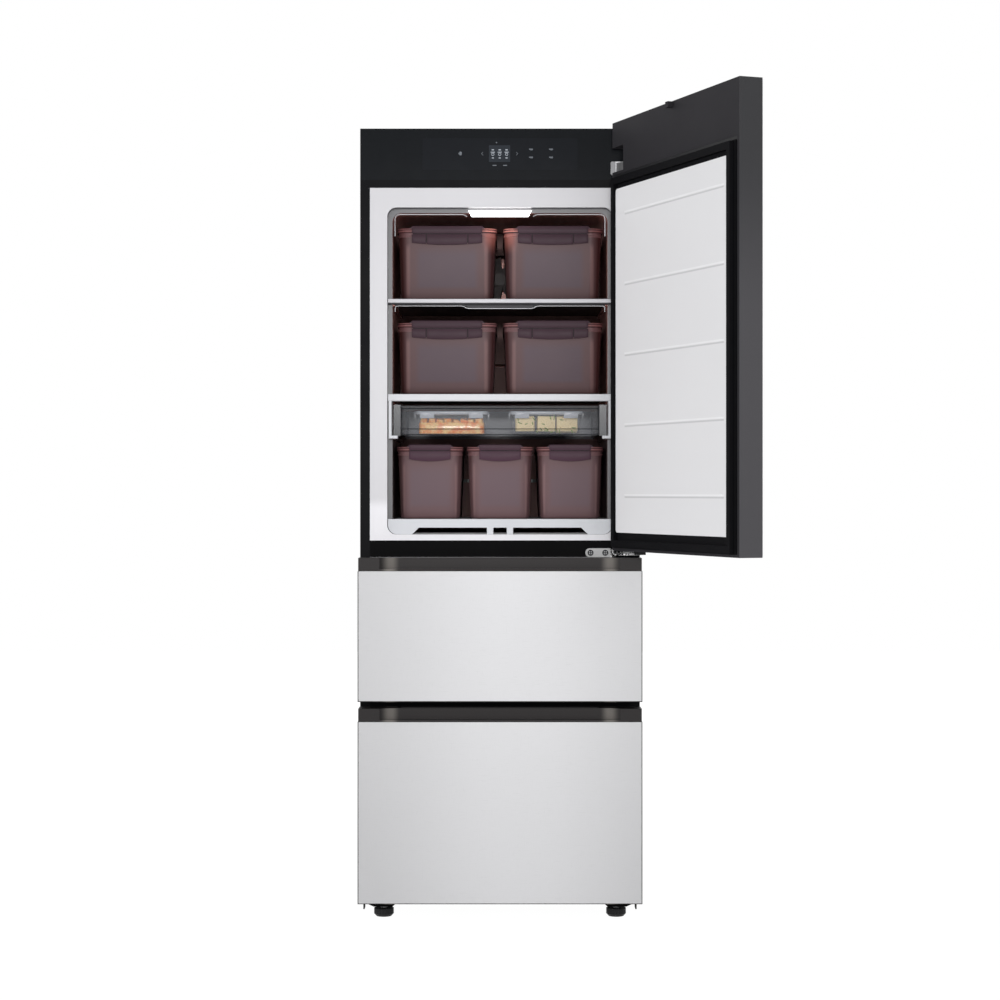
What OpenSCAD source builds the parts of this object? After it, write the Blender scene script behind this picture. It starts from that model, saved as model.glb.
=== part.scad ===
// Stand-type kimchi refrigerator: an upper compartment behind a side-hinged door and two drawers below it.
// Origin: floor level, middle of the width, on the plane of the cabinet's front flange.
// +Z is up, -Y is the front.
// The door stands open by door_open degrees, the drawers are shut.

/* [Cabinet] */
// Width of the cabinet
cab_w = 662; // [600:1:720]
// Depth of the outer sheet, from the front flange to the back edge
cab_d = 665; // [640:1:720]
// Height of the cabinet's top above the floor
cab_top = 1871.5; // [1860:0.5:1900]
// Height of the cabinet's underside above the floor
cab_base = 45; // [42:1:50]
// Thickness of the outer steel sheet
sheet_t = 1; // [0.8:0.1:1.5]
// Width of the sheet's return flange at each side of the front
return_w = 23; // [18:1:28]
// Height of the sheet's return flange under the control fascia
strip_h = 19; // [16:1:24]
// Height of the control fascia
fascia_h = 121.5; // [110:0.5:130]
// Thickness of the control fascia
fascia_t = 3; // [2:0.5:4]
// Depth of the hollow behind the fascia
fascia_box_d = 38; // [30:1:50]
// Width of the touch glass in the fascia
glass_w = 367; // [300:1:420]
// Distance of the touch glass above the fascia's lower edge
glass_low = 23.5; // [20:0.5:26]
// Height of the touch glass
glass_h = 75.8; // [50:0.2:90]
// Thickness of the touch glass
glass_t = 0.8; // [0.6:0.1:1.2]
// Thickness of the stamped back cover
back_t = 1; // [0.8:0.1:1.5]
// How far the back cover's stamped beads stand out
bead_h = 2; // [1:0.5:3]

/* [Front bars] */
// Underside of the bar between the upper compartment and the middle drawer
upper_bar_z = 856.9; // [850:0.1:864]
// Height of that bar
upper_bar_h = 39.6; // [36:0.1:42]
// Underside of the bar between the two drawers
lower_bar_z = 490; // [486:1:496]
// Height of the bar between the two drawers
lower_bar_h = 45; // [40:1:48]
// Height of the bar under the lower drawer
bottom_bar_h = 30; // [26:1:36]
// Depth of each bar
bar_d = 24; // [20:1:30]

/* [Upper compartment] */
// Width of the white flange at each side of the opening
flange_w = 41; // [38:1:44]
// Height of the white flange under the opening
flange_low = 14; // [12:0.5:18]
// Height of the white flange over the opening
flange_high = 46; // [40:1:52]
// Wall thickness of the liners
liner_t = 2; // [1.5:0.5:3]
// Depth of the light collar inside the opening
collar_d = 30; // [26:1:32]
// How far the side walls step in behind the collar
step_w = 11; // [9:0.5:12]
// How far the floor steps up behind the collar
step_low = 3.5; // [2:0.5:5]
// How far the ceiling steps down behind the collar
step_high = 10; // [8:0.5:12]
// Space between the back edge and the rear walls of the upper compartment and of the drawers' rooms
room_back = 125; // [105:1:135]
// Corner radius of the opening
room_r = 22; // [14:1:26]
// Height of each shelf rib on the side walls
rib_h = 8; // [6:1:10]
// How far the shelf ribs stand out
rib_w = 5.5; // [4:0.5:6]
// Width of the lamp
lamp_w = 150; // [120:1:180]
// Height of the lamp
lamp_h = 15; // [13:0.5:17]
// How far the lamp stands out of the step
lamp_d = 5; // [3:0.5:8]

/* [Shelves] */
// Place of the upper shelf, as a share of the way from the base tray to the ceiling
shelf_1_at = 0.717072; // [0.71:0.000001:0.725]
// Place of the lower shelf, as a share of the way from the base tray to the ceiling
shelf_2_at = 0.407087; // [0.4:0.000001:0.412]
// Height of the top of the base tray above the opening's lower edge
base_tray_up = 36.4; // [32:0.1:38]
// Height of the upper shelf's front trim
trim_1_h = 12; // [9:0.5:14]
// Height of the lower shelf's front trim
trim_2_h = 16.5; // [14:0.5:18]
// Thickness of the shelf plates
plate_t = 6; // [5:0.5:7]
// Space between the shelves and the duct panel
shelf_back = 15; // [10:1:24]
// Distance of the shelf trims behind the front flange
trim_y = 6; // [4:1:8]
// Depth of the shelf trims
trim_d = 21; // [18:1:22]
// Height of the shaded air guide under the upper shelf
guide_h = 9; // [6:0.5:10]
// Extra height of the air guide's middle part
guide_dip = 6; // [4:0.5:7]
// Height of the base tray's front bar
tray_bar_h = 20.2; // [16:0.2:22]
// Width of the cut-out under the base tray's front bar, at the top
tray_slot_w = 385; // [340:1:400]
// Width of each post under the base tray's front bar
tray_post_w = 15; // [10:1:20]

/* [Sliding tray] */
// Space between a rail of the sliding tray and the side wall
tray_side = 3; // [2:0.5:6]
// Space between the sliding tray and the trim over it
tray_gap = 10.8; // [8:0.1:20]
// Distance of the sliding tray behind the front flange
slide_tray_y = 22; // [20:1:26]
// Space between the sliding tray and the duct panel
tray_back = 40; // [34:1:68]
// Place of the sliding tray's underside, as a share of the way from the base tray to the lower shelf
slide_tray_at = 0.671727; // [0.66:0.000001:0.69]
// Width of each side rail of the sliding tray
ear_w = 16; // [14:0.5:17]
// Wall of the sliding tray
tray_wall = 2.5; // [2:0.5:3.5]
// Height of the ledge that carries each rail
ledge_h = 6.6; // [5:0.1:8]

/* [Containers] */
// Space between a wide container and the side wall
wide_side = 10; // [7:0.5:16]
// Space between a narrow container and the side wall
slim_side = 8.5; // [6:0.5:16]
// Space between the containers and the duct panel
box_back = 20; // [15:1:60]
// Height of a closed container, as a share of the way from the base tray to the ceiling
box_share = 0.243785; // [0.234:0.000001:0.246]
// Gap between two wide containers
wide_gap = 14; // [10:1:16]
// Gap between two narrow containers
slim_gap = 7.5; // [4:0.5:10]
// Distance of the containers behind the front flange
box_y = 50; // [46:1:54]
// Wall of the containers
box_wall = 2.5; // [2:0.5:3]
// How much narrower a container is at its base, at each side
box_taper = 6.5; // [4:0.5:12]
// Corner radius of the containers
box_r = 26; // [20:1:30]
// Height of the lid above the container's rim
lid_h = 4; // [3:0.5:5]
// Height of the raised middle of the lid
lid_rise = 6; // [4:0.5:8]
// Height of the lid's skirt
skirt_h = 11; // [9:0.5:14]
// Wall of the lid's skirt
skirt_t = 2.5; // [2:0.5:3]
// Distance of the locking wing from the side of a wide lid
wide_wing_in = 35.5; // [30:0.5:44]
// Distance of the locking wing from the side of a narrow lid
slim_wing_in = 30.5; // [26:0.5:35]
// Height of the locking wing below the lid's top
wing_h = 28; // [24:1:32]
// Thickness of the locking wing
wing_t = 3; // [2.5:0.5:4]

/* [Door] */
// How far the door stands open
door_open = 110.8; // [0:0.1:120]
// How far the shut door stands out over the cabinet at its free edge
door_over = 2; // [0:0.5:4]
// Height of the door's underside above the upper bar's underside
door_up = 16.6; // [15:0.1:18]
// Height of the door's top above the cabinet's top
door_high = 7; // [3:0.5:10]
// Distance of the shut door's inner face from the front flange
door_gap = 14; // [13:0.5:16]
// Thickness of the door
door_t = 55; // [52:0.5:60]
// Thickness of the front panels on the door and the drawers
panel_t = 3; // [2:0.5:4]
// Width of the dark edge round each front panel
panel_edge = 1.8; // [0.8:0.1:2.4]
// Wall of the door's frame
door_wall = 11; // [9:0.5:13]
// Height of the plain top part of the door's frame
door_head = 122.5; // [118:0.5:126]
// Distance of the raised liner from the door's side edges
liner_in = 40; // [39:0.5:44]
// Height of the raised liner's lower edge above the door's underside
liner_low = 43; // [41:0.5:46]
// Distance of the raised liner's upper edge below the plain top part
liner_high = 37.3; // [34:0.1:44]
// How far the liner stands out of the door
liner_rise = 8; // [6:0.5:9]
// Corner radius of the raised liner
liner_r = 8; // [5:1:12]
// Height of the lowest embossed bar above the liner's lower edge
emboss_low = 86; // [60:1:120]
// Distance of the highest embossed bar from the liner's upper edge
emboss_high = 55.2; // [40:0.2:80]
// Height of one embossed bar
emboss_h = 5; // [3:0.5:8]
// How far the embossed bars stand out
emboss_t = 1; // [0.6:0.2:1.4]
// Bevel along the door's upright inner edges
door_bevel = 3; // [2:0.5:6]

/* [Hinge] */
// Distance of the hinge axis from the side of the cabinet
hinge_side = 29; // [27:0.5:31]
// Distance of the hinge axis in front of the flange
hinge_y = 44; // [44:0.5:46]
// Radius of the hinge pins
pin_r = 5; // [4:0.5:6]
// Thickness of the hinge arms
arm_t = 4; // [3:0.5:5]
// Width of the thrust collar on the lower hinge
collar_w = 18; // [14:1:18]
// Distance of the lower hinge's arm from the pin, towards the middle and to the front
arm_in = 40; // [30:1:44]
// Distance of the lower hinge's arm from the pin, towards the side
arm_out = 28; // [18:1:28]
// Thickness of the hinge plates
hinge_t = 3; // [2.5:0.5:3.5]
// Sideways distance from the upper hinge's pin to the root of its web
web_run = 25; // [14:1:26]
// Thickness of the upper hinge's web
web_t = 6; // [4:0.5:8]
// Length of the lower hinge plate, up to the pin
lower_plate_l = 99.8; // [90:0.2:110]
// Height of the lower hinge plate
plate_h = 21; // [20:0.1:24]
// Radius of the upper hinge's knuckle
knuckle_r = 12; // [10:0.5:13]
// Height of the upper hinge's knuckle
knuckle_h = 24; // [20:1:28]
// Height of the upper hinge's knuckle above the fascia's lower edge
knuckle_up = 15; // [13:1:18]
// Width of the door's hinge pocket
pocket_w = 65; // [60:1:70]
// Height of the door's hinge pocket
pocket_h = 58; // [50:1:64]
// Space between the hinge pocket's floor and the knuckle
pocket_low = 3; // [1:0.5:5]
// Wall in front of the hinge pocket
pocket_wall = 9; // [7:0.5:9.5]
// How far each hinge pin reaches into the door
pin_grip = 16; // [12:1:20]
// Length of the plate under the door
under_plate_l = 83; // [80:1:130]
// Width of the plate under the door
under_plate_w = 24; // [20:1:26]
// Thickness of the plate under the door
under_plate_t = 3.5; // [3:0.5:4]

/* [Drawers] */
// How far the drawer fronts stand out over the cabinet at each side
front_over = 2; // [0:0.5:3]
// Depth of the drawer fronts
front_t = 56; // [54:0.5:60]
// Height of the middle front's underside above the lower bar's underside
middle_up = 30.2; // [28:0.2:34]
// Height of the lower front's top above the lower bar's underside
lower_over = 14.3; // [10:0.1:16]
// Height of the lower front's underside above the cabinet's underside
lower_up = 2.4; // [1:0.2:5]
// Height of the grip strip on each drawer
grip_h = 30.9; // [28:0.1:34]
// How much narrower the grip strip is, at each side
grip_in = 1.5; // [0.5:0.5:3]
// Depth of the recess in the grip strip
recess_d = 18; // [12:1:18]
// Length of the straight part of the recess
recess_l = 464; // [400:1:500]
// Length of the curve at each end of the recess
recess_run = 50; // [30:1:60]
// Height of the lip under the recess
recess_lip = 5; // [3:0.5:8]
// Width of the finger groove behind the recess
finger_w = 18; // [15:1:19]
// Depth of the finger groove
finger_d = 18; // [14:1:22]
// Wall of the drawer fronts' frames
front_wall = 6; // [5:0.5:8]
// Width of the front frame beside the drawers' rooms
room_side = 38; // [36:1:44]
// Height of the edge over and under the lower room, and under the middle one
room_edge = 10; // [8:1:12]
// Height of the edge over the middle room
room_edge_top = 22; // [20:1:26]
// Space between a bin and the wall of its room, which holds the slides
slide_space = 18; // [18:0.5:22]
// Wall of the drawer bins
bin_wall = 2.5; // [2:0.5:4]
// Space between the middle bin and the rear wall of its room
middle_bin_back = 110; // [90:1:140]
// Space between the middle bin and the ceiling of its room
middle_bin_top = 41.9; // [32:0.1:80]
// Space between the lower bin and the wall in front of the machine room
lower_bin_back = 20; // [18:1:50]
// Space between the lower bin and the ceiling of its room
lower_bin_top = 57; // [47:1:90]
// Corner radius of the bins
bin_r = 20; // [12:1:24]
// Width of the rim on the bins
bin_rim = 10; // [6:1:12]

/* [Slides] */
// Outer height of the slides' cabinet member
rail_h = 40; // [36:1:44]
// Sheet thickness of the slides
rail_t = 1.6; // [1.2:0.1:2]
// Depth of the cabinet member's section
rail_w = 13; // [12:0.5:14]
// Space between the slides and the rear wall of their room
rail_back = 90; // [80:1:110]
// Height of the lower drawer's slides above the step over the machine room
lower_rail_up = 46; // [28:1:68]

/* [Gaskets] */
// Width of a gasket's base
seal_base_w = 27; // [24:1:28]
// Thickness of a gasket's base
seal_base_t = 3; // [2:0.5:4]
// Width of a gasket's bulb
seal_w = 16; // [12:0.5:16]
// Clearance between the bulb and the flange
seal_gap = 1.2; // [1:0.1:2]

/* [Machine room] */
// Width of the frame beside the machine room
machine_side = 31; // [26:1:50]
// Height of the machine room's ceiling above the floor
machine_top = 262; // [250:1:280]
// Depth of the machine room
machine_d = 265; // [255:1:269]
// Insulation between the machine room and the lower drawer's room
machine_wall = 30; // [28:1:36]
// Thickness of the rear grille
grille_t = 1.5; // [1:0.5:2]
// Width of one slot in the rear grille
slot_w = 7; // [5:1:9]
// Height of one slot in the rear grille
slot_h = 56; // [40:1:64]
// Distance between two slots
slot_pitch = 17; // [14:1:20]
// Radius of the opening in the mains cable gland
gland_r = 4.2; // [3.5:0.1:5]
// Length of the mains cable gland
gland_l = 12; // [10:1:16]
// Distance of the mains cable gland from the side of the machine room
gland_side = 70; // [60:1:90]
// Height of the mains cable gland above the base plate
gland_up = 55; // [45:1:70]
// Radius of the compressor
comp_r = 75; // [65:1:80]
// Height of the compressor above its foot plate
comp_h = 150; // [130:1:160]
// Thickness of the base plate
base_t = 2; // [1.5:0.5:3]

/* [Cold air] */
// Space between the duct panel and the rear wall
duct_back = 70; // [68:1:80]
// Thickness of the duct panel
duct_t = 3; // [2:0.5:4]
// Height of the fan's axis below the middle of the top bay
fan_low = 12; // [2:1:32]
// Radius of the fan
fan_r = 55; // [45:1:60]
// Number of fan blades
fan_blades = 7; // [5:1:9]
// Number of evaporator fins
fins = 18; // [10:1:24]
// Width of the evaporator
evap_w = 400; // [340:1:440]
// Height of the evaporator
evap_h = 200; // [160:5:240]
// Height of the evaporator above the compartment's floor
evap_up = 50; // [30:1:80]

/* [Feet and rollers] */
// Distance of the feet from the side of the cabinet
foot_side = 54; // [46:1:60]
// Distance of the feet behind the front flange
foot_y = 46; // [40:1:60]
// Radius of the feet
foot_r = 23.5; // [20:0.5:26]
// Height of a foot's ridged pad
foot_h = 19; // [14:1:22]
// Radius of the feet's threaded stems
stem_r = 5; // [4:0.5:6]
// Distance of the rear rollers from the back edge
roller_back = 50; // [40:1:65]
// Radius of the rear rollers
roller_r = 20; // [18:0.5:20]
// Width of the rear rollers
roller_w = 20; // [16:1:24]
// Radius of the roller axles
axle_r = 4; // [3:0.5:5]

/* [Clearances] */
// Clearance between pieces that are fitted together
fit = 0.3; // [0.2:0.05:0.4]
// Radial clearance of pins, stems and axles
run = 0.05; // [0.03:0.01:0.08]

/* [Hidden] */
$fn = 48;
eps = 1;

// Cabinet
half_w = cab_w / 2;
inner_x = half_w - sheet_t;
inner_top = cab_top - sheet_t;
foam_x = inner_x - fit;
foam_z0 = cab_base + base_t;
foam_z1 = inner_top - fit;
foam_front = liner_t + fit;
foam_back = cab_d - back_t;
frame_x = half_w - return_w;
room_d = cab_d - room_back;
duct_y = room_d - duct_back;
machine_w = cab_w - 2 * machine_side;
machine_y = cab_d - machine_d;
fascia_z = cab_top - fascia_h;
glass_z = fascia_z + glass_low;
glass_r = 3;
bar_wall = 1.5;
mitre_d = 0.4;
mitre_w = 0.8;
bead_pitch = 150;
bead_w = 60;
bead_in = 40;
BAR_Z = [upper_bar_z, lower_bar_z, cab_base];
BAR_H = [upper_bar_h, lower_bar_h, bottom_bar_h];

// Upper compartment
flange_z0 = upper_bar_z + upper_bar_h;
flange_z1 = fascia_z - strip_h;
open_x = frame_x - flange_w;
open_z0 = flange_z0 + flange_low;
open_z1 = flange_z1 - flange_high;
wall_x = open_x - step_w;
wall_z0 = open_z0 + step_low;
wall_z1 = open_z1 - step_high;
rib_y = collar_d + 6;
lamp_drop = 4;
base_tray_z = open_z0 + base_tray_up;
bays_h = wall_z1 - base_tray_z;
shelf_1_z = base_tray_z + bays_h * shelf_1_at;
shelf_2_z = base_tray_z + bays_h * shelf_2_at;
fan_z = (shelf_1_z + wall_z1) / 2 - fan_low;

// Shelves and tray
front_shelf_x = open_x - 5 * fit;
shelf_x = wall_x - fit;
shelf_d = duct_y - trim_y - shelf_back;
guide_x = shelf_x - 6;
guide_t = 3;
deck_t = 3;
tray_post_x = 16;
bearer_x = wall_x - room_r - tray_post_w;
tray_r = 5;
slide_tray_w = 2 * (wall_x - tray_side - ear_w);
slide_tray_d = duct_y - slide_tray_y - tray_back;
slide_tray_z = base_tray_z + (shelf_2_z - base_tray_z) * slide_tray_at;
slide_tray_h = shelf_2_z - trim_2_h - tray_gap - slide_tray_z;
ear_x = slide_tray_w / 2 + ear_w;
ear_z0 = slide_tray_z - 1;
ledge_z1 = ear_z0 - fit;
ledge_x = slide_tray_w / 2 + 6;
bracket_x0 = front_shelf_x - 8;
bracket_x1 = front_shelf_x - 1.5;

// Containers
wide_w = wall_x - wide_side - wide_gap / 2;
slim_w = (2 * (wall_x - slim_side) - 2 * slim_gap) / 3;
box_d = duct_y - box_y - box_back;
box_h = bays_h * box_share;
wide_x = (wide_w + wide_gap) / 2;
slim_x = slim_w + slim_gap;
rim_z = box_h - lid_h - lid_rise;
rim_t = 3;
rim_gap = 1.5;
rim_in = 1.5;
tub_round = 8;
wing_sag = 5;
groove = 0.8;
BOXES = ["top_left_box", "top_right_box", "middle_left_box", "middle_right_box",
         "bottom_left_box", "bottom_centre_box", "bottom_right_box"];
LIDS = ["top_left_lid", "top_right_lid", "middle_left_lid", "middle_right_lid",
        "bottom_left_lid", "bottom_centre_lid", "bottom_right_lid"];
BOX_X = [-wide_x, wide_x, -wide_x, wide_x, -slim_x, 0, slim_x];
BOX_Z = [shelf_1_z, shelf_1_z, shelf_2_z, shelf_2_z, base_tray_z, base_tray_z, base_tray_z];
BOX_W = [for (i = [0 : 6]) i < 4 ? wide_w : slim_w];
WING_W = [for (w = BOX_W) w - 2 * (w == wide_w ? wide_wing_in : slim_wing_in)];

// Door and hinges
door_left = -half_w - door_over;
door_right = half_w;
hinge_x = half_w - hinge_side;
door_y = -door_gap - door_t;
door_z = upper_bar_z + door_up;
door_top = cab_top + door_high;
door_h = door_top - door_z;
liner_x0 = door_left + liner_in;
liner_x1 = door_right - liner_in;
liner_z = door_z + liner_low;
liner_z1 = door_top - door_head - liner_high;
emboss_n = 5;
emboss_in = 30;
emboss_z = liner_z + emboss_low;
emboss_pitch = (liner_z1 - emboss_high - emboss_h - emboss_z) / (emboss_n - 1);
buffer_w = 14;
buffer_h = 13;
buffer_drop = 1.5;
knuckle_z = fascia_z + knuckle_up;
knuckle_top = knuckle_z + knuckle_h;
pocket_z = knuckle_z - pocket_low;
pocket_top = pocket_z + pocket_h;
under_z = door_z - under_plate_t;
collar_h = 3;
arm_z = under_z - collar_h - arm_t;
stop_l = under_plate_w / 2;
stop_h = 5;
hinge_round = 4;
plate_left = hinge_x - lower_plate_l;
hinge_plate_z = upper_bar_z + plate_h / 2;
tongue_h = arm_t + 6;
arm_r = 14;
screw_r = 2.5;
screw_head_r = 7;
screw_head_h = 2.5;
LOWER_SCREW_X = [plate_left + lower_plate_l * 0.12, plate_left + lower_plate_l * 0.47];
UPPER_SCREW_X = [hinge_x - screw_head_r - 3, hinge_x + screw_head_r];

// Gaskets
seal_off = 2;
seal_lip = 3;
seal_z0 = liner_z - 34.5;
seal_z1 = liner_z1 + 27.5;

// Drawers and their rooms
front_y = -door_gap - front_t;
front_x = half_w + front_over;
room_x = frame_x - room_side;
middle_top = upper_bar_z;
middle_z = lower_bar_z + middle_up;
lower_top = lower_bar_z + lower_over;
lower_z = cab_base + lower_up;
middle_room_z0 = lower_bar_z + lower_bar_h + room_edge;
middle_room_z1 = upper_bar_z - room_edge_top;
lower_room_z0 = cab_base + bottom_bar_h + room_edge;
lower_room_z1 = lower_bar_z - room_edge;
recess_r = (recess_run * recess_run + recess_d * recess_d) / 2 / recess_d;
finger_y = front_y + recess_d + 8;
dyke_x = room_x - 22;
dyke_in = 10;
bin_x = room_x - slide_space;
bin_y = liner_rise - door_gap + fit + bin_rim;
bin_lift = 8;
middle_bin_h = middle_room_z1 - middle_room_z0 - bin_lift - middle_bin_top;
lower_bin_h = lower_room_z1 - lower_room_z0 - bin_lift - lower_bin_top;
middle_rail_z = (middle_room_z0 + middle_room_z1) / 2;
lower_rail_z = machine_top + machine_wall + lower_rail_up;
middle_bin_d = room_d - middle_bin_back;
lower_bin_d = machine_y - machine_wall - lower_bin_back;
rail_y = 4;
rail_l = room_d - rail_back;
mid_half = rail_h / 2 - rail_t - fit;
drawer_half = mid_half - rail_t - fit;
mid_x0 = bin_x + rail_t + fit;
mid_x1 = mid_x0 + rail_w - 2;
drawer_x1 = mid_x1 - rail_t - 4 * fit;

// Machine room, cold air, feet and rollers
slot_x = 2 * slot_pitch - machine_w / 2;
slot_z = cab_base + 45;
gland_x = machine_w / 2 - gland_side;
gland_z = cab_base + gland_up;
gland_wall = 4.8;
gland_out = 1.5;
gland_room = gland_side + 30;
comp_x = -120;
comp_y = (machine_y + foam_back) / 2;
comp_round = comp_r * 0.46;
comp_foot_w = comp_r * 1.6;
comp_foot_h = comp_r * 0.16;
comp_bolt_r = comp_r * 0.12;
comp_lug = comp_r * 0.24;
vent_pitch = 46;
vent_w = 30;
vent_h = 8;
motor_y = duct_y + duct_t + fan_r * 0.672;
motor_r = fan_r * 0.328;
motor_l = fan_r * 0.454;
spider_t = 3;
shaft_r = 3;
shaft_l = 14;
fan_gap = 1;
hub_r = 16;
hub_l = 16;
blade_w = 26;
blade_t = 2;
blade_pitch = 30;
evap_y = duct_y + duct_t + 7;
evap_d = 40;
evap_z = wall_z0 + evap_up;
evap_rows = 5;
tube_r = 4;
boss_h = 20;
boss_r = 11;
bracket_in = 28;
bracket_out = 37;
bracket_run = 14;
bracket_edge = 6;
fin_t = 3;
fin_drop = 26;
foot_ridges = 20;
foot_edge = 6;
foot_in = 5.5;
foot_x = half_w - foot_side;
roller_y = cab_d - roller_back;
roller_x = machine_w / 2 - 30;
roller_z = roller_r;
fork_t = 3;
fork_w = 16;

dark = [0.13, 0.13, 0.14];
mid_grey = [0.24, 0.24, 0.25];
white = [0.9, 0.9, 0.91];
steel = [0.72, 0.72, 0.73];
maroon = [0.42, 0.28, 0.3, 0.85];

// ---- Shapes used by many pieces ----

// A block between two corners
module block(x0, x1, y0, y1, z0, z1) {
    translate([x0, y0, z0]) cube([x1 - x0, y1 - y0, z1 - z0]);
}

// A rectangle with true round corners
module round_rect(x0, x1, y0, y1, r) {
    translate([x0 + r, y0]) square([x1 - x0 - 2 * r, y1 - y0]);
    translate([x0, y0 + r]) square([x1 - x0, y1 - y0 - 2 * r]);
    for (x = [x0 + r, x1 - r])
        for (y = [y0 + r, y1 - r])
            translate([x, y]) circle(r);
}

// An outline in X and Z, drawn out along Y
module along_y(y0, y1) {
    translate([0, y1, 0]) rotate([90, 0, 0]) linear_extrude(y1 - y0) children();
}

// An outline in Y and Z, drawn out along X
module along_x(x0, x1) {
    translate([x0, 0, 0]) rotate([90, 0, 90]) linear_extrude(x1 - x0) children();
}

// A rounded prism that faces the front
module front_prism(x0, x1, z0, z1, r, y0, y1) {
    along_y(y0, y1) round_rect(x0, x1, z0, z1, r);
}

module both_sides() {
    children();
    mirror([1, 0, 0]) children();
}

// The door's pieces are drawn shut and turned open about the hinge axis
module door_pose() {
    translate([hinge_x, -hinge_y, 0]) rotate([0, 0, door_open])
        translate([-hinge_x, hinge_y, 0]) children();
}

// ---- Cabinet ----

// The hollow of the upper compartment, grown by g, from y0 backwards
module upper_room(g, y0) {
    front_prism(-open_x - g, open_x + g, open_z0 - g, open_z1 + g, room_r + g, y0, collar_d + g);
    front_prism(-wall_x - g, wall_x + g, wall_z0 - g, wall_z1 + g, room_r + g, y0, room_d + g);
}

module middle_room(g, y0) {
    front_prism(-room_x - g, room_x + g, middle_room_z0 - g, middle_room_z1 + g, room_r + g, y0,
                room_d + g);
}

// The lower room is shallower in front of the machine room
module lower_room(g, y0) {
    front_prism(-room_x - g, room_x + g, lower_room_z0 - g, lower_room_z1 + g, room_r + g, y0,
                machine_y - machine_wall + g);
    front_prism(-room_x - g, room_x + g, machine_top + machine_wall - g, lower_room_z1 + g, room_r + g,
                y0, room_d + g);
}

// Folded steel sheet: sides, top and the mitred return flange round the front
module outer_wrap() {
    color(dark) difference() {
        block(-half_w, half_w, 0, cab_d, cab_base, cab_top);
        block(-inner_x, inner_x, sheet_t, cab_d + eps, cab_base - eps, inner_top);
        block(-frame_x, frame_x, -eps, sheet_t + eps, cab_base - eps, flange_z1);
        block(-half_w - eps, half_w + eps, -eps, fascia_t, fascia_z, cab_top + eps);
        both_sides()
            along_y(-eps, mitre_d) translate([frame_x, flange_z1]) rotate(atan2(strip_h, return_w))
                translate([-mitre_w, -mitre_w / 2]) square([norm([return_w, strip_h]), mitre_w]);
    }
}

// Back sheet with stamped beads, seated on the foam
module back_cover() {
    y = foam_back + back_t;
    bead = [[y, 0], [y + bead_h, bead_h], [y + bead_h, bead_w - bead_h], [y, bead_w]];
    color(mid_grey) {
        block(-foam_x, foam_x, foam_back, y, machine_top + fit, foam_z1);
        for (z = [machine_top + bead_pitch / 2 : bead_pitch : foam_z1 - bead_pitch / 2])
            along_x(-foam_x + bead_in, foam_x - bead_in) translate([0, z]) polygon(bead);
    }
}

// Rear grille of the machine room with the gland of the mains cable
module machine_cover() {
    y = foam_back + grille_t;
    slots = floor((machine_w - 4 * slot_pitch - gland_room) / slot_pitch);
    color(mid_grey) difference() {
        union() {
            block(-foam_x, foam_x, foam_back, y, foam_z0, machine_top);
            translate([gland_x, y + gland_out, gland_z]) rotate([90, 0, 0])
                cylinder(r = gland_r + gland_wall, h = gland_l);
        }
        translate([gland_x, y + gland_out + eps, gland_z]) rotate([90, 0, 0])
            cylinder(r = gland_r, h = gland_l + 2 * eps);
        for (i = [0 : slots - 1])
            for (z = [slot_z, slot_z + slot_h + slot_pitch])
                block(slot_x + i * slot_pitch, slot_x + i * slot_pitch + slot_w,
                      foam_back - eps, y + eps, z, z + slot_h);
    }
}

// Bracket that stiffens the base plate round a foot's boss
module foot_bracket() {
    x0 = foot_x - bracket_in;
    x1 = foot_x + bracket_out;
    low = cab_base - boss_h;
    top = cab_base + base_t / 2;
    along_y(bar_d, foot_y + boss_r)
        polygon([[x0, top], [x0, low + bracket_edge], [x0 + bracket_run / 2, low], [x1 - bracket_run, low],
                 [x1, low + bracket_edge], [x1, top]]);
}

// Base plate with the feet's threaded bosses and brackets, the skirt fins and the roller forks
module base_frame() {
    color(dark) {
        difference() {
            union() {
                block(-foam_x, foam_x, bar_d, foam_back, cab_base, foam_z0);
                both_sides() {
                    translate([foot_x, foot_y, cab_base - boss_h])
                        cylinder(r = boss_r, h = boss_h + base_t / 2);
                    foot_bracket();
                    block(inner_x - 8, inner_x - 8 + fin_t, bar_d, foot_y + boss_r,
                          cab_base - fin_drop, foam_z0);
                }
            }
            both_sides() translate([foot_x, foot_y, cab_base - boss_h - eps])
                cylinder(r = stem_r, h = boss_h + base_t + 2 * eps);
        }
        both_sides() translate([roller_x, roller_y, 0]) {
            for (x = [-roller_w / 2 - fit - fork_t, roller_w / 2 + fit]) {
                block(x, x + fork_t, -fork_w / 2, fork_w / 2, roller_z, cab_base + base_t / 2);
                translate([x, 0, roller_z]) rotate([0, 90, 0]) cylinder(r = fork_w / 2, h = fork_t);
            }
            translate([-roller_w / 2 - fork_t, 0, roller_z]) rotate([0, 90, 0])
                cylinder(r = axle_r - run, h = roller_w + 2 * fork_t);
        }
    }
}

// Foamed insulation between the outer sheet and the liners
module insulation() {
    color([0.93, 0.9, 0.78]) difference() {
        block(-foam_x, foam_x, foam_front, foam_back, foam_z0, foam_z1);
        upper_room(liner_t, 0);
        middle_room(liner_t, 0);
        lower_room(liner_t, 0);
        for (i = [0 : len(BAR_Z) - 1])
            block(-frame_x, frame_x, 0, bar_d, BAR_Z[i], BAR_Z[i] + BAR_H[i]);
        block(-half_w, half_w, 0, fascia_box_d, fascia_z, cab_top);
        block(-machine_w / 2, machine_w / 2, machine_y, foam_back + eps, 0, machine_top);
    }
}

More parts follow.
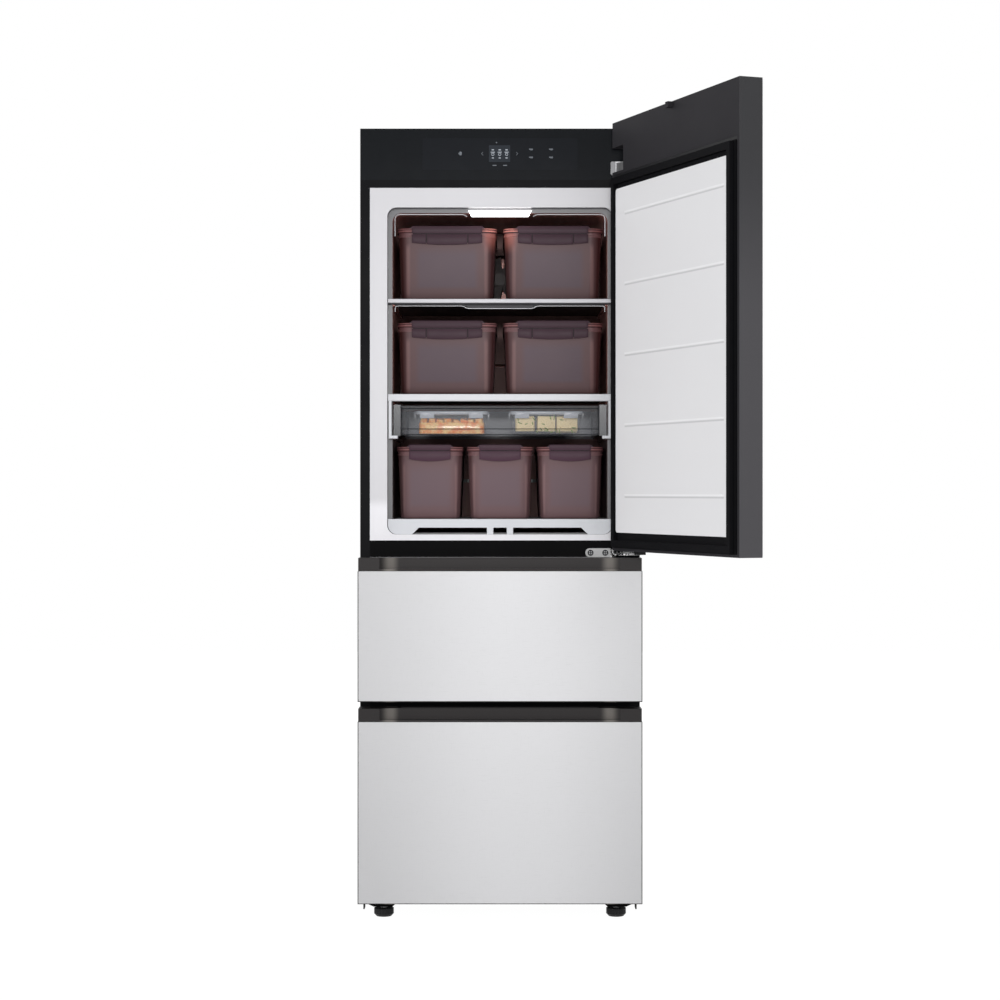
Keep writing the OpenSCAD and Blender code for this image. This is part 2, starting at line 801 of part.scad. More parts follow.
// White front ring, collar and tub of the upper compartment, with its shelf ribs
module upper_liner() {
    color(white) {
        difference() {
            union() {
                block(-frame_x, frame_x, 0, liner_t, flange_z0, flange_z1);
                upper_room(liner_t, 0);
            }
            upper_room(0, -eps);
        }
        both_sides()
            for (z = [shelf_1_z - plate_t, shelf_2_z - plate_t, ledge_z1])
                block(wall_x - rib_w, wall_x + eps, rib_y, duct_y - rib_y / 2, z - rib_h, z);
    }
}

// Tubs of the two drawer rooms
module drawer_liners() {
    color(white) {
        difference() {
            union() {
                block(-frame_x, frame_x, 0, liner_t, lower_bar_z + lower_bar_h, upper_bar_z);
                middle_room(liner_t, 0);
            }
            middle_room(0, -eps);
        }
        difference() {
            union() {
                block(-frame_x, frame_x, 0, liner_t, cab_base + bottom_bar_h, lower_bar_z);
                lower_room(liner_t, 0);
            }
            lower_room(0, -eps);
        }
    }
}

// Channel-section bars across the front, above, between and below the drawers
module crossbars() {
    color(dark) difference() {
        for (i = [0 : len(BAR_Z) - 1])
            along_x(-frame_x, frame_x) translate([0, BAR_Z[i]]) difference() {
                square([bar_d, BAR_H[i]]);
                translate([bar_wall, bar_wall]) square([bar_d, BAR_H[i] - 2 * bar_wall]);
            }
        lower_screws(screw_r + run, bar_wall + eps, eps);
    }
}

// Fascia with the hollow for the electronics behind it
module control_housing() {
    wall = liner_t;
    color([0.13, 0.14, 0.155]) difference() {
        union() {
            block(-half_w, half_w, 0, fascia_t, fascia_z, cab_top);
            block(-foam_x, foam_x, fascia_t - eps, fascia_box_d, fascia_z, foam_z1);
        }
        block(-foam_x + wall, foam_x - wall, fascia_t, fascia_box_d + eps, fascia_z + wall, foam_z1 - wall);
        front_prism(-glass_w / 2 - fit, glass_w / 2 + fit, glass_z - fit, glass_z + glass_h + fit, glass_r,
                    -eps, glass_t);
        upper_screws(screw_r + run, fascia_t + eps, eps);
    }
}

module control_glass() {
    color([0.16, 0.17, 0.19])
        front_prism(-glass_w / 2, glass_w / 2, glass_z, glass_z + glass_h, glass_r, 0, glass_t);
}

// ---- Hinges ----

// Round rods along Y at the given places, from the given depth to the given height in front
module rods(xs, z, r, depth, front) {
    for (x = xs)
        translate([x, depth, z]) rotate([90, 0, 0]) cylinder(r = r, h = depth + front);
}

module lower_screws(r, depth, front) {
    rods(LOWER_SCREW_X, hinge_plate_z, r, depth, front);
}

module upper_screws(r, depth, front) {
    rods(UPPER_SCREW_X, knuckle_z + knuckle_h / 2, r, depth, front);
}

// Outline, seen from above, of the upright web between the upper hinge's plate and its knuckle
module hinge_web() {
    intersection() {
        translate([hinge_x, -hinge_y]) rotate(atan2(hinge_y, -web_run))
            translate([0, -web_t / 2]) square([2 * hinge_y, web_t]);
        translate([0, -hinge_y * 2]) square([half_w, hinge_y * 2]);
    }
}

// Outline, seen from above, of the flat arm under the door
module hinge_arm() {
    round_rect(hinge_x - arm_in, hinge_x + arm_out, -hinge_y - arm_r, 2 * arm_r - hinge_y, arm_r);
    translate([hinge_x - arm_in, -hinge_y]) square([arm_in, hinge_y]);
}

// Upper hinge on the fascia, with its knuckle and pin
module upper_hinge() {
    color(steel) {
        difference() {
            front_prism(hinge_x - arm_in, hinge_x + knuckle_r + hinge_round, knuckle_z - hinge_round,
                        knuckle_top + hinge_round, hinge_round, -hinge_t, 0);
            upper_screws(screw_r + run, eps, hinge_t + eps);
        }
        translate([0, 0, knuckle_z]) linear_extrude(knuckle_h) hinge_web();
        translate([hinge_x, -hinge_y, knuckle_z]) cylinder(r = knuckle_r, h = knuckle_h);
        translate([hinge_x, -hinge_y, knuckle_z])
            cylinder(r = pin_r - run, h = pocket_top + pin_grip - knuckle_z);
    }
}

// Lower hinge: plate on the upper bar, arm under the door, thrust collar and pin
module lower_hinge() {
    color(steel) {
        difference() {
            front_prism(plate_left, hinge_x - arm_in + arm_r, hinge_plate_z - plate_h / 2,
                        hinge_plate_z + plate_h / 2, plate_h / 2 - 0.1, -hinge_t, 0);
            lower_screws(screw_r + run, eps, hinge_t + eps);
        }
        block(hinge_x - arm_in, hinge_x, -hinge_t, 0, arm_z - 3, arm_z - 3 + tongue_h);
        translate([0, 0, arm_z]) linear_extrude(arm_t) hinge_arm();
        translate([hinge_x, -hinge_y, arm_z]) cylinder(r = collar_w / 2, h = under_z - fit - arm_z);
        translate([hinge_x, -hinge_y, arm_z]) cylinder(r = pin_r - run, h = door_z + door_wall - 2 - arm_z);
    }
}

// Cross-head screws that hold both hinges
module hinge_screws() {
    slot_l = screw_head_r * 1.2;
    color([0.5, 0.5, 0.5]) {
        difference() {
            union() {
                lower_screws(screw_head_r, -hinge_t, hinge_t + screw_head_h);
                upper_screws(screw_head_r, -hinge_t, hinge_t + screw_head_h);
            }
            for (p = concat([for (x = LOWER_SCREW_X) [x, hinge_plate_z]],
                            [for (x = UPPER_SCREW_X) [x, knuckle_z + knuckle_h / 2]]))
                translate([p[0], -hinge_t - screw_head_h, p[1]])
                    for (a = [0, 90])
                        rotate([0, a, 0])
                            block(-slot_l / 2, slot_l / 2, -eps, eps, -slot_l / 12, slot_l / 12);
        }
        lower_screws(screw_r, hinge_t, hinge_t + eps);
        upper_screws(screw_r, fascia_t, hinge_t + eps);
    }
}

// ---- Inside the upper compartment ----

// Lamp on the step over the containers
module lamp_lens() {
    z = open_z1 - lamp_drop;
    color([1, 1, 1]) along_y(collar_d - lamp_d, collar_d)
        polygon([[-lamp_w / 2, z], [lamp_w / 2, z], [lamp_w / 2 - lamp_h / 2, z - lamp_h],
                 [-lamp_w / 2 + lamp_h / 2, z - lamp_h]]);
}

// Front trim of a shelf with softened edges
module shelf_trim(top, h) {
    y0 = trim_y;
    y1 = trim_y + trim_d;
    along_x(-front_shelf_x, front_shelf_x)
        polygon([[y0 + 1, top], [y1, top], [y1, top - h], [y0 + 2, top - h], [y0, top - h + 2],
                 [y0, top - 1]]);
}

module shelf_plate(top) {
    block(-shelf_x, shelf_x, trim_y + trim_d - eps, trim_y + shelf_d, top - plate_t, top);
}

// Upper shelf with a shaded air guide under its front
module upper_shelf() {
    y = collar_d + 2 * fit;
    z1 = shelf_1_z - plate_t;
    z0 = z1 - guide_h;
    half = lamp_w / 2;
    color([0.75, 0.75, 0.77]) {
        shelf_trim(shelf_1_z, trim_1_h);
        shelf_plate(shelf_1_z);
        along_y(y, y + guide_t)
            polygon([[-guide_x, z1 + eps], [guide_x, z1 + eps], [guide_x, z0], [half + guide_dip, z0],
                     [half, z0 - guide_dip], [-half, z0 - guide_dip], [-half - guide_dip, z0],
                     [-guide_x, z0]]);
    }
}

// Lower shelf with the C-shaped brackets that guide the sliding tray
module lower_shelf() {
    y0 = trim_y + 1;
    y1 = trim_y + trim_d;
    color(white) {
        shelf_trim(shelf_2_z, trim_2_h);
        shelf_plate(shelf_2_z);
        both_sides() {
            block(bracket_x0, bracket_x1, y0, y1, ledge_z1 - ledge_h, shelf_2_z - trim_2_h + eps);
            block(ledge_x, bracket_x1, y0, y1, ledge_z1 - ledge_h, ledge_z1);
        }
    }
}

// Base tray: front bridge with its cut-out, deck and bearers
module base_tray() {
    deck_z = base_tray_z - deck_t;
    slot_z1 = base_tray_z - tray_bar_h;
    chamfer = slot_z1 - open_z0;
    half = tray_slot_w / 2;
    color([0.86, 0.87, 0.89]) {
        difference() {
            intersection() {
                front_prism(-front_shelf_x, front_shelf_x, open_z0 + fit, base_tray_z + room_r, room_r,
                            trim_y, trim_y + plate_t);
                block(-half_w, half_w, 0, cab_d, open_z0, base_tray_z);
            }
            along_y(0, cab_d)
                polygon([[-half, slot_z1], [half, slot_z1], [half + chamfer + eps, open_z0 - eps],
                         [-half - chamfer - eps, open_z0 - eps]]);
        }
        block(-front_shelf_x, front_shelf_x, trim_y, collar_d - fit, deck_z, base_tray_z);
        block(-shelf_x, shelf_x, trim_y, trim_y + shelf_d, deck_z, base_tray_z);
        both_sides() {
            block(tray_post_x, tray_post_x + tray_post_w, trim_y, collar_d, open_z0 + fit, deck_z + eps);
            for (x = [tray_post_x, bearer_x])
                block(x, x + tray_post_w, collar_d - eps, trim_y + shelf_d, wall_z0 + fit, deck_z + eps);
        }
    }
}

// Duct panel with air vents, the fan's opening and the spider that holds the fan motor
module duct_panel() {
    orifice_r = fan_r + 4;
    post_at = fan_r + 10;
    color([0.35, 0.35, 0.37]) {
        difference() {
            front_prism(-shelf_x, shelf_x, wall_z0 + fit, wall_z1 - fit, room_r, duct_y, duct_y + duct_t);
            rods([0], fan_z, orifice_r, duct_y + duct_t + eps, eps - duct_y);
            for (z = [base_tray_z + box_h / 2, shelf_2_z + box_h / 2])
                for (i = [-4 : 4])
                    block(i * vent_pitch - vent_w / 2, i * vent_pitch + vent_w / 2, duct_y - eps,
                          duct_y + duct_t + eps, z, z + vent_h);
        }
        for (a = [30, 150, 270])
            translate([0, 0, fan_z]) rotate([0, a, 0]) {
                rods([post_at], 0, tube_r, motor_y + spider_t, -duct_y - duct_t / 2);
                block(0, post_at, motor_y, motor_y + spider_t, -tube_r, tube_r);
            }
        rods([0], fan_z, motor_r, motor_y + motor_l, -motor_y);
        rods([0], fan_z, shaft_r - run, motor_y + eps, shaft_l - motor_y);
    }
}

// Finned evaporator between the duct panel and the back wall
module evaporator() {
    half = evap_w / 2;
    z1 = evap_z + evap_h;
    color("silver") {
        for (i = [1 : fins - 2])
            translate([-half + i * evap_w / (fins - 1), 0, 0])
                block(-fin_t / 4, fin_t / 4, evap_y, evap_y + evap_d, evap_z, z1);
        both_sides() block(half - 1, half + 1, evap_y, room_d, evap_z, z1);
        for (j = [0 : evap_rows - 1])
            for (y = [evap_y + evap_d / 4, evap_y + evap_d * 3 / 4])
                translate([-half - 2 * tube_r, y, evap_z + (j + 0.5) * evap_h / evap_rows])
                    rotate([0, 90, 0]) cylinder(r = tube_r, h = evap_w + 4 * tube_r);
    }
}

// Axial fan on the motor's shaft
module evaporator_fan() {
    root = hub_r - 2;
    color([0.85, 0.85, 0.86]) translate([0, motor_y - fan_gap, fan_z]) rotate([90, 0, 0]) difference() {
        union() {
            cylinder(r = hub_r, h = hub_l);
            for (i = [0 : fan_blades - 1])
                rotate(i * 360 / fan_blades) translate([root, 0, hub_l / 2]) rotate([blade_pitch, 0, 0])
                    translate([0, -blade_w / 2, -blade_t / 2]) cube([fan_r - root, blade_w, blade_t]);
        }
        translate([0, 0, -eps]) cylinder(r = shaft_r, h = shaft_l - fan_gap + 2 * eps);
    }
}

// ---- Machine room ----

// Sealed compressor with its weld seam, foot plate, terminal box and process tube
module compressor() {
    body_z = foam_z0 + comp_foot_h;
    color(dark) translate([comp_x, comp_y, body_z]) {
        rotate_extrude() intersection() {
            round_rect(-comp_r, comp_r, 0, comp_h, comp_round);
            square([comp_r, comp_h]);
        }
        translate([0, 0, comp_h / 2]) cylinder(r = comp_r + 3, h = 4);
        linear_extrude(3)
            round_rect(-comp_foot_w / 2, comp_foot_w / 2, -comp_foot_w / 2, comp_foot_w / 2, comp_foot_h);
        for (x = [-1, 1])
            for (y = [-1, 1])
                translate([x, y, 0] * (comp_foot_w * 0.384)) translate([0, 0, -comp_foot_h])
                    cylinder(r = comp_bolt_r, h = comp_foot_h + comp_bolt_r / 2);
        block(comp_r - comp_lug / 2, comp_r + comp_lug, -comp_lug, comp_lug, comp_h / 3, comp_h * 0.63);
        translate([0, comp_r * 0.6, comp_h * 0.8]) cylinder(r = comp_bolt_r / 2, h = comp_h / 3);
    }
}

// ---- Drawer slides ----

// C-shaped section of a slide member, from its web to the edges of its flanges
module slide_section(web, edge, half_h) {
    inner = web + sign(edge - web) * rail_t;
    polygon([[web, half_h], [edge, half_h], [edge, half_h - rail_t], [inner, half_h - rail_t],
             [inner, rail_t - half_h], [edge, rail_t - half_h], [edge, -half_h], [web, -half_h]]);
}

// Cabinet members, screwed to the side walls of both drawer rooms
module cabinet_rails() {
    color(steel)
        for (z = [middle_rail_z, lower_rail_z])
            both_sides() along_y(rail_y, rail_y + rail_l) translate([0, z])
                slide_section(room_x, room_x - rail_w, rail_h / 2);
}

// Middle members, which travel half as far as the drawer
module slide_pair(z) {
    color([0.62, 0.62, 0.63])
        both_sides() along_y(rail_y + 2, rail_y + rail_l - 10) translate([0, z])
            slide_section(mid_x1, mid_x0, mid_half);
}

// Drawer members, which join the bin to the drawer front
module rail_pair(z) {
    color(steel)
        both_sides() along_y(-door_gap, rail_l - door_gap) translate([0, z])
            slide_section(bin_x, drawer_x1, drawer_half);
}

module middle_slides() { slide_pair(middle_rail_z); }
module lower_slides() { slide_pair(lower_rail_z); }
module middle_rails() { rail_pair(middle_rail_z); }
module lower_rails() { rail_pair(lower_rail_z); }

// ---- Feet and rollers ----

// Levelling foot: ridged pad, tapered towards the floor, and threaded stem
module foot(x) {
    color([0.2, 0.2, 0.21]) translate([x, foot_y, 0]) {
        difference() {
            union() {
                translate([0, 0, foot_edge]) cylinder(r = foot_r, h = foot_h - foot_edge);
                cylinder(r1 = foot_r - foot_in, r2 = foot_r, h = foot_edge);
            }
            for (i = [0 : foot_ridges - 1])
                rotate(i * 360 / foot_ridges) translate([foot_r + 1, 0, foot_edge + 1])
                    cylinder(r = 2.2, h = foot_h);
        }
        cylinder(r = stem_r - run, h = foam_z0 - fit);
    }
}

module left_foot() { foot(-foot_x); }
module right_foot() { foot(foot_x); }

// Roller with a hollow in each side
module roller(x) {
    mid_r = (roller_r + axle_r) / 2;
    rim = (roller_r - axle_r) / 4;
    color([0.3, 0.3, 0.3]) translate([x - roller_w / 2, roller_y, roller_z]) rotate([0, 90, 0])
        rotate_extrude() difference() {
            translate([axle_r, 0]) square([roller_r - axle_r, roller_w]);
            translate([mid_r - rim / 2, -eps]) square([rim, 4]);
            translate([mid_r - rim / 2, roller_w - 3]) square([rim, 4]);
        }
}

module left_roller() { roller(-roller_x); }
module right_roller() { roller(roller_x); }

// ---- Door ----

// Steel face of the door
module door_panel() {
    edge = panel_edge + fit;
    color([0.88, 0.88, 0.89]) door_pose()
        block(door_left + edge, door_right - edge, door_y, door_y + panel_t, door_z + edge, door_top - edge);
}

// Dark frame: side walls, plain head with the hinge pocket, pin bores and the buffer
module door_frame() {
    mid = (door_left + door_right) / 2;
    small = door_bevel / 5;
    color(mid_grey) door_pose() {
        difference() {
            translate([0, 0, door_z]) linear_extrude(door_h)
                polygon([[door_left, door_y + panel_edge], [door_right, door_y + panel_edge],
                         [door_right, -door_gap - door_bevel], [door_right - door_bevel, -door_gap],
                         [door_left + small, -door_gap], [door_left, -door_gap - small]]);
            block(door_left + panel_edge, door_right - panel_edge, door_y, door_y + panel_t,
                  door_z + panel_edge, door_top - panel_edge);
            block(door_left + door_wall, door_right - door_wall, door_y, 0, door_z + door_wall,
                  door_top - door_head);
            block(door_right - pocket_w, door_right + eps, door_y + pocket_wall, 0, pocket_z, pocket_top);
            translate([hinge_x, -hinge_y, pocket_top - eps]) cylinder(r = pin_r, h = pin_grip + 3);
            translate([hinge_x, -hinge_y, door_z - eps]) cylinder(r = pin_r, h = door_wall + 2 * eps);
        }
        block(mid - buffer_w / 2, mid + buffer_w / 2, -door_gap - eps, -2 * fit,
              door_top - buffer_drop - buffer_h, door_top - buffer_drop);
    }
}

// Foam-filled core with the raised white liner and its embossed bars
module door_liner() {
    wall = door_wall + fit;
    front = liner_rise - door_gap;
    color(white) door_pose() {
        difference() {
            block(door_left + wall, door_right - wall, door_y + panel_t, -door_gap, door_z + wall,
                  door_top - door_head - fit);
            translate([hinge_x, -hinge_y, door_z]) cylinder(r = pin_r + 1, h = wall + 4);
        }
        front_prism(liner_x0, liner_x1, liner_z, liner_z1, liner_r, -door_gap - eps, front);
        for (i = [0 : emboss_n - 1])
            translate([0, 0, emboss_z + i * emboss_pitch])
                block(liner_x0 + emboss_in, liner_x1 - emboss_in, front - eps, front + emboss_t, 0, emboss_h);
    }
}

// A frame between two outlines [x0, x1, z0, z1], from y0 to y1
module ring(outer, inner, y0, y1) {
    difference() {
        block(outer[0], outer[1], y0, y1, outer[2], outer[3]);
        block(inner[0], inner[1], y0 - eps, y1 + eps, inner[2], inner[3]);
    }
}

// Magnetic gasket: flat base round the raised liner and the bulb that meets the flange
module door_gasket() {
    in0 = liner_x0 - seal_off;
    in1 = liner_x1 + seal_off;
    color(dark) door_pose() {
        ring([liner_x0 - seal_base_w, liner_x1 + seal_base_w, seal_z0 - seal_off, seal_z1 + seal_off],
             [liner_x0 - fit, liner_x1 + fit, liner_z - fit, liner_z1 + fit],
             -door_gap, seal_base_t - door_gap);
        ring([in0 - seal_w, in1 + seal_w, seal_z0, seal_z1],
             [in0, in1, seal_z0 + seal_w, seal_z1 - seal_w], -door_gap, -seal_gap);
    }
}

// Plate under the door round the lower pin, with the door stop at its end
module door_hinge_plate() {
    end_r = under_plate_w / 2;
    x0 = hinge_x + end_r - under_plate_l;
    color(steel) door_pose() {
        difference() {
            union() {
                block(x0, hinge_x, -hinge_y - end_r, -hinge_y + end_r, under_z, door_z);
                translate([hinge_x, -hinge_y, under_z]) cylinder(r = end_r, h = under_plate_t);
            }
            translate([hinge_x, -hinge_y, under_z - eps]) cylinder(r = pin_r, h = under_plate_t + 2 * eps);
        }
        block(x0, x0 + stop_l, -hinge_y - end_r, -hinge_y + end_r, under_z - stop_h, under_z + eps);
    }
}

// ---- Drawers ----

// White face of a drawer
module front_panel(z0, z1) {
    x = front_x - panel_edge - fit;
    color([0.9, 0.9, 0.91])
        block(-x, x, front_y, front_y + panel_t, z0 + panel_edge + fit, z1 - grip_h - fit);
}

// Outline, seen from above, of the recess along the grip strip with its curved ends
module grip_recess() {
    half = recess_l / 2;
    translate([-half, front_y - eps]) square([recess_l, recess_d + eps]);
    both_sides() intersection() {
        translate([half, front_y + recess_d - recess_r]) circle(recess_r);
        translate([half - eps, front_y - eps]) square([recess_run + recess_d, recess_d + 2 * eps]);
    }
}

// Dark frame of a drawer front with the recessed grip strip along its top
module front_frame(z0, z1) {
    strip_x = front_x - grip_in;
    half = recess_l / 2;
    color(mid_grey) {
        difference() {
            block(-front_x, front_x, front_y + panel_edge, -door_gap, z0, z1 - grip_h);
            block(-front_x + front_wall, front_x - front_wall, front_y, 0, z0 + front_wall, z1);
            block(-front_x + panel_edge, front_x - panel_edge, front_y, front_y + panel_t,
                  z0 + panel_edge, z1);
        }
        difference() {
            block(-strip_x, strip_x, front_y, -door_gap, z1 - grip_h, z1);
            translate([0, 0, z1 - grip_h + recess_lip]) linear_extrude(grip_h) grip_recess();
            block(-half, half, finger_y, finger_y + finger_w, z1 - finger_d, z1 + eps);
        }
    }
}

// Foam-filled inner part of a drawer front with its raised dyke
module front_core(z0, z1, room_z0, room_z1) {
    x = front_x - front_wall - fit;
    top = z1 - grip_h - fit;
    color(white) {
        block(-x, x, front_y + panel_t, -door_gap, z0 + front_wall + fit, top);
        front_prism(-dyke_x, dyke_x, room_z0 + dyke_in, min(room_z1, top) - dyke_in, liner_r,
                    -door_gap - eps, liner_rise - door_gap);
    }
}

// Gasket of a drawer front, round its room's opening
module front_gasket(room_z0, room_z1) {
    inner = [-room_x - eps, room_x + eps, room_z0 - eps, room_z1 + eps];
    grow = [-1, 1, -1, 1];
    color(dark) {
        ring(inner + grow * (seal_w + seal_lip), inner, -door_gap, seal_base_t - door_gap);
        ring(inner + grow * seal_w, inner, -door_gap, -seal_gap);
    }
}

// Open bin with round corners and a rim, held between the drawer's slides
module bin(z0, h, d) {
    w = bin_wall;
    color([0.8, 0.82, 0.84, 0.9]) translate([0, 0, z0]) difference() {
        union() {
            linear_extrude(h) round_rect(-bin_x, bin_x, bin_y, bin_y + d, bin_r);
            translate([0, 0, h - rim_t]) linear_extrude(rim_t)
                round_rect(-bin_x - bin_rim, bin_x + bin_rim, bin_y - bin_rim, bin_y + d + bin_rim,
                           bin_r + bin_rim);
        }
        translate([0, 0, w]) linear_extrude(h)
            round_rect(-bin_x + w, bin_x - w, bin_y + w, bin_y + d - w, bin_r - w);
    }
}

module middle_panel() { front_panel(middle_z, middle_top); }
module middle_frame() { front_frame(middle_z, middle_top); }
module middle_inner() { front_core(middle_z, middle_top, middle_room_z0, middle_room_z1); }
module middle_gasket() { front_gasket(middle_room_z0, middle_room_z1); }
module middle_bin() { bin(middle_room_z0 + bin_lift, middle_bin_h, middle_bin_d); }
module lower_panel() { front_panel(lower_z, lower_top); }
module lower_frame() { front_frame(lower_z, lower_top); }
module lower_inner() { front_core(lower_z, lower_top, lower_room_z0, lower_room_z1); }
module lower_gasket() { front_gasket(lower_room_z0, lower_room_z1); }
module lower_bin() { bin(lower_room_z0 + bin_lift, lower_bin_h, lower_bin_d); }

// ---- Sliding tray and containers ----

// Shallow open tray on side rails, with a low front lip
module sliding_tray() {
    x = slide_tray_w / 2;
    y0 = slide_tray_y;
    y1 = slide_tray_y + slide_tray_d;
    w = tray_wall;
    color([0.35, 0.37, 0.4, 0.7]) translate([0, 0, slide_tray_z]) {
        difference() {
            linear_extrude(slide_tray_h) round_rect(-x, x, y0, y1, tray_r);
            translate([0, 0, w]) linear_extrude(slide_tray_h)
                round_rect(-x + w, x - w, y0 + w, y1 - w, tray_r - w);
        }
        block(-x + 2 * tray_r, x - 2 * tray_r, y0 - w / 2, y0 + eps, 0, slide_tray_h / 5);
        both_sides() {
            block(x - w, ear_x, y0 - w, y0 + ear_w, ear_z0 - slide_tray_z, slide_tray_h + w);
            block(x - w, ear_x, y0 + ear_w - eps, y1 - tray_r, ear_z0 - slide_tray_z, 2 * w);
        }
    }
}

// Tapered tub with rounded corners and base edge, w wide and d deep at the top, standing on z = 0
module tub(w, d, h, r) {
    x = w / 2;
    t = box_taper;
    b = box_taper + tub_round;
    hull() {
        translate([0, 0, h - 0.1]) linear_extrude(0.1) round_rect(-x, x, 0, d, r, $fn = 32);
        translate([0, 0, tub_round]) linear_extrude(0.1)
            round_rect(-x + t, x - t, t, d - t, r - t / 3, $fn = 32);
        linear_extrude(0.1) round_rect(-x + b, x - b, b, d - b, r - tub_round, $fn = 32);
    }
}

// Container body with its stacking rim, at place i
module container(i) {
    w = BOX_W[i];
    inset = skirt_t + fit;
    inner = inset + box_wall;
    color(maroon) translate([BOX_X[i], box_y, BOX_Z[i] + fit])
        difference() {
            union() {
                translate([0, inset, 0]) tub(w - 2 * inset, box_d - 2 * inset, rim_z, box_r);
                translate([0, 0, rim_z - skirt_h - rim_gap - rim_t]) linear_extrude(rim_t)
                    round_rect(-w / 2 + rim_in, w / 2 - rim_in, rim_in, box_d - rim_in, box_r);
            }
            translate([0, inner, box_wall])
                tub(w - 2 * inner, box_d - 2 * inner, rim_z, box_r - box_wall);
        }
}

// Front locking wing with its bent lower edge, hinge line and clip lines
module wing(w) {
    arc_r = w * w / 8 / wing_sag + wing_sag / 2;
    low = box_h - wing_h;
    difference() {
        along_y(-wing_t, eps) intersection() {
            translate([-w / 2, low]) square([w, wing_h]);
            translate([0, low + arc_r]) circle(arc_r, $fn = 360);
        }
        block(-w, w, -wing_t - eps, groove - wing_t, low + wing_h / 2, low + wing_h / 2 + groove);
        both_sides()
            block(w * 0.29, w * 0.29 + groove, -wing_t - eps, groove - wing_t, low + wing_h / 2, box_h);
    }
}

// Lid with its skirt, raised middle and wing, at place i
module container_lid(i) {
    w = BOX_W[i];
    top = rim_z + lid_h;
    mid_x = WING_W[i] / 2 + lid_rise;
    color([0.3, 0.19, 0.22]) translate([BOX_X[i], box_y, BOX_Z[i] + fit]) {
        difference() {
            translate([0, 0, top - skirt_h]) linear_extrude(skirt_h)
                round_rect(-w / 2, w / 2, 0, box_d, box_r + skirt_t);
            translate([0, 0, top - skirt_h - eps]) linear_extrude(skirt_h + eps - lid_h + fit)
                round_rect(-w / 2 + skirt_t, w / 2 - skirt_t, skirt_t, box_d - skirt_t, box_r);
        }
        translate([0, 0, top - eps]) linear_extrude(lid_rise + eps)
            round_rect(-mid_x, mid_x, 0, box_d - skirt_h, lid_rise);
        wing(WING_W[i]);
    }
}

outer_wrap();
back_cover();
machine_cover();
base_frame();
insulation();
upper_liner();
drawer_liners();
crossbars();
control_housing();
control_glass();
upper_hinge();
lower_hinge();
hinge_screws();
lamp_lens();
upper_shelf();
lower_shelf();
base_tray();
duct_panel();
evaporator();
evaporator_fan();
compressor();
cabinet_rails();
left_foot();
right_foot();
left_roller();
right_roller();
door_panel();
door_frame();
door_liner();
door_gasket();
door_hinge_plate();
middle_panel();
middle_frame();
middle_inner();
middle_gasket();
middle_bin();
middle_rails();
middle_slides();
lower_panel();
lower_frame();
lower_inner();
lower_gasket();
lower_bin();
lower_rails();
lower_slides();
sliding_tray();
for (i = [0 : len(BOXES) - 1]) {
    container(i);
    container_lid(i);
}
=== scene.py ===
"""Looks of a three-compartment kimchi refrigerator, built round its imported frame."""
import math
import random

import bmesh
import bpy
from bpy.props import FloatProperty, FloatVectorProperty, IntProperty, PointerProperty
from mathutils import Matrix, Vector


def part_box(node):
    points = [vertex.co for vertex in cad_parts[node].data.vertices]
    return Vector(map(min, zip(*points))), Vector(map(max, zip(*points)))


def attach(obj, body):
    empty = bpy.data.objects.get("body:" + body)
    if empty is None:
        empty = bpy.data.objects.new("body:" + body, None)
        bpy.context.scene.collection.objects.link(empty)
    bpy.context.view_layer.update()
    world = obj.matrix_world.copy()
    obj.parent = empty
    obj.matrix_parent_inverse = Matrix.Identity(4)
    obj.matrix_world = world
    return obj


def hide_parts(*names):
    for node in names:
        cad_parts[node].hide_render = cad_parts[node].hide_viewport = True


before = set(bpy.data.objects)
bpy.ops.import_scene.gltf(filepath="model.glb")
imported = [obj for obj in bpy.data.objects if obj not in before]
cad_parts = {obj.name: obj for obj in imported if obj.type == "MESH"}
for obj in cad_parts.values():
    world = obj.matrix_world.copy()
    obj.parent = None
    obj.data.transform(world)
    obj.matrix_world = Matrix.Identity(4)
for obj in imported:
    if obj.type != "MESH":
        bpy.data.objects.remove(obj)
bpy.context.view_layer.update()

bl_info = {
    "name": "Kimchi refrigerator looks",
    "version": (1, 0, 0),
    "blender": (4, 5, 0),
    "location": "3D View > Sidebar > Fridge",
    "description": "Finishes, containers, food boxes and studio of a kimchi refrigerator",
    "category": "Object",
}

MM = 0.001
PLACES = ("top_left", "top_right", "middle_left", "middle_right",
          "bottom_left", "bottom_centre", "bottom_right")
# Heights below which the lower row of containers and lids is painted lighter, as painted light.
ROW_HEIGHTS = (1.05, 1.15)
SAME_PLACE = 1e-6

# Where finishes change on a solid. "Along" is measured on the open door, from its hinge.
HINGE_AXIS = (0.302, -0.044, 0)
DOOR_TURN = (0, 0, math.radians(-110.8))
COLLAR_BACK = 30.1 * MM
TRIM_BACK = 27.2 * MM
GUIDE_TOP = 1460.2 * MM
FREE_END_ALONG = -633.5 * MM
PLATE_END_ALONG = -58.8 * MM
LINER_RAISED = 30.2 * MM
EMBOSS_PITCH = 164 * MM
EMBOSS_LOWEST = 1002.5 * MM
TRAY_EAR = 236.2 * MM
STRIP_CURVE = 257.5 * MM
UPPER_HINGE_WEB = 272.5 * MM
LOWER_HINGE_ARM = 261.5 * MM
LOWER_SCREWS = (214.2 * MM, 249.1 * MM)
LOWER_SCREW_HEIGHT = 867.4 * MM

# The middles of the two food boxes across the tray, and how deep behind its front.
FOOD_BOXES = {"kimchi_food_box": -115.5 * MM, "tofu_food_box": 110.5 * MM}
FOOD_BOX_DEEP = 84 * MM

# One pixel of the photograph on the front plane, and the row at the camera's height.
PIXEL = 2.3676 * MM
HORIZON_ROW = 491.2


def on_screen(red, green, blue):
    """A colour read as 0 to 255 on a screen, as the linear values of a shader."""
    linear = [((c / 255 + 0.055) / 1.055) ** 2.4 if c > 10 else c / 3294.6
              for c in (red, green, blue)]
    return (*linear, 1.0)


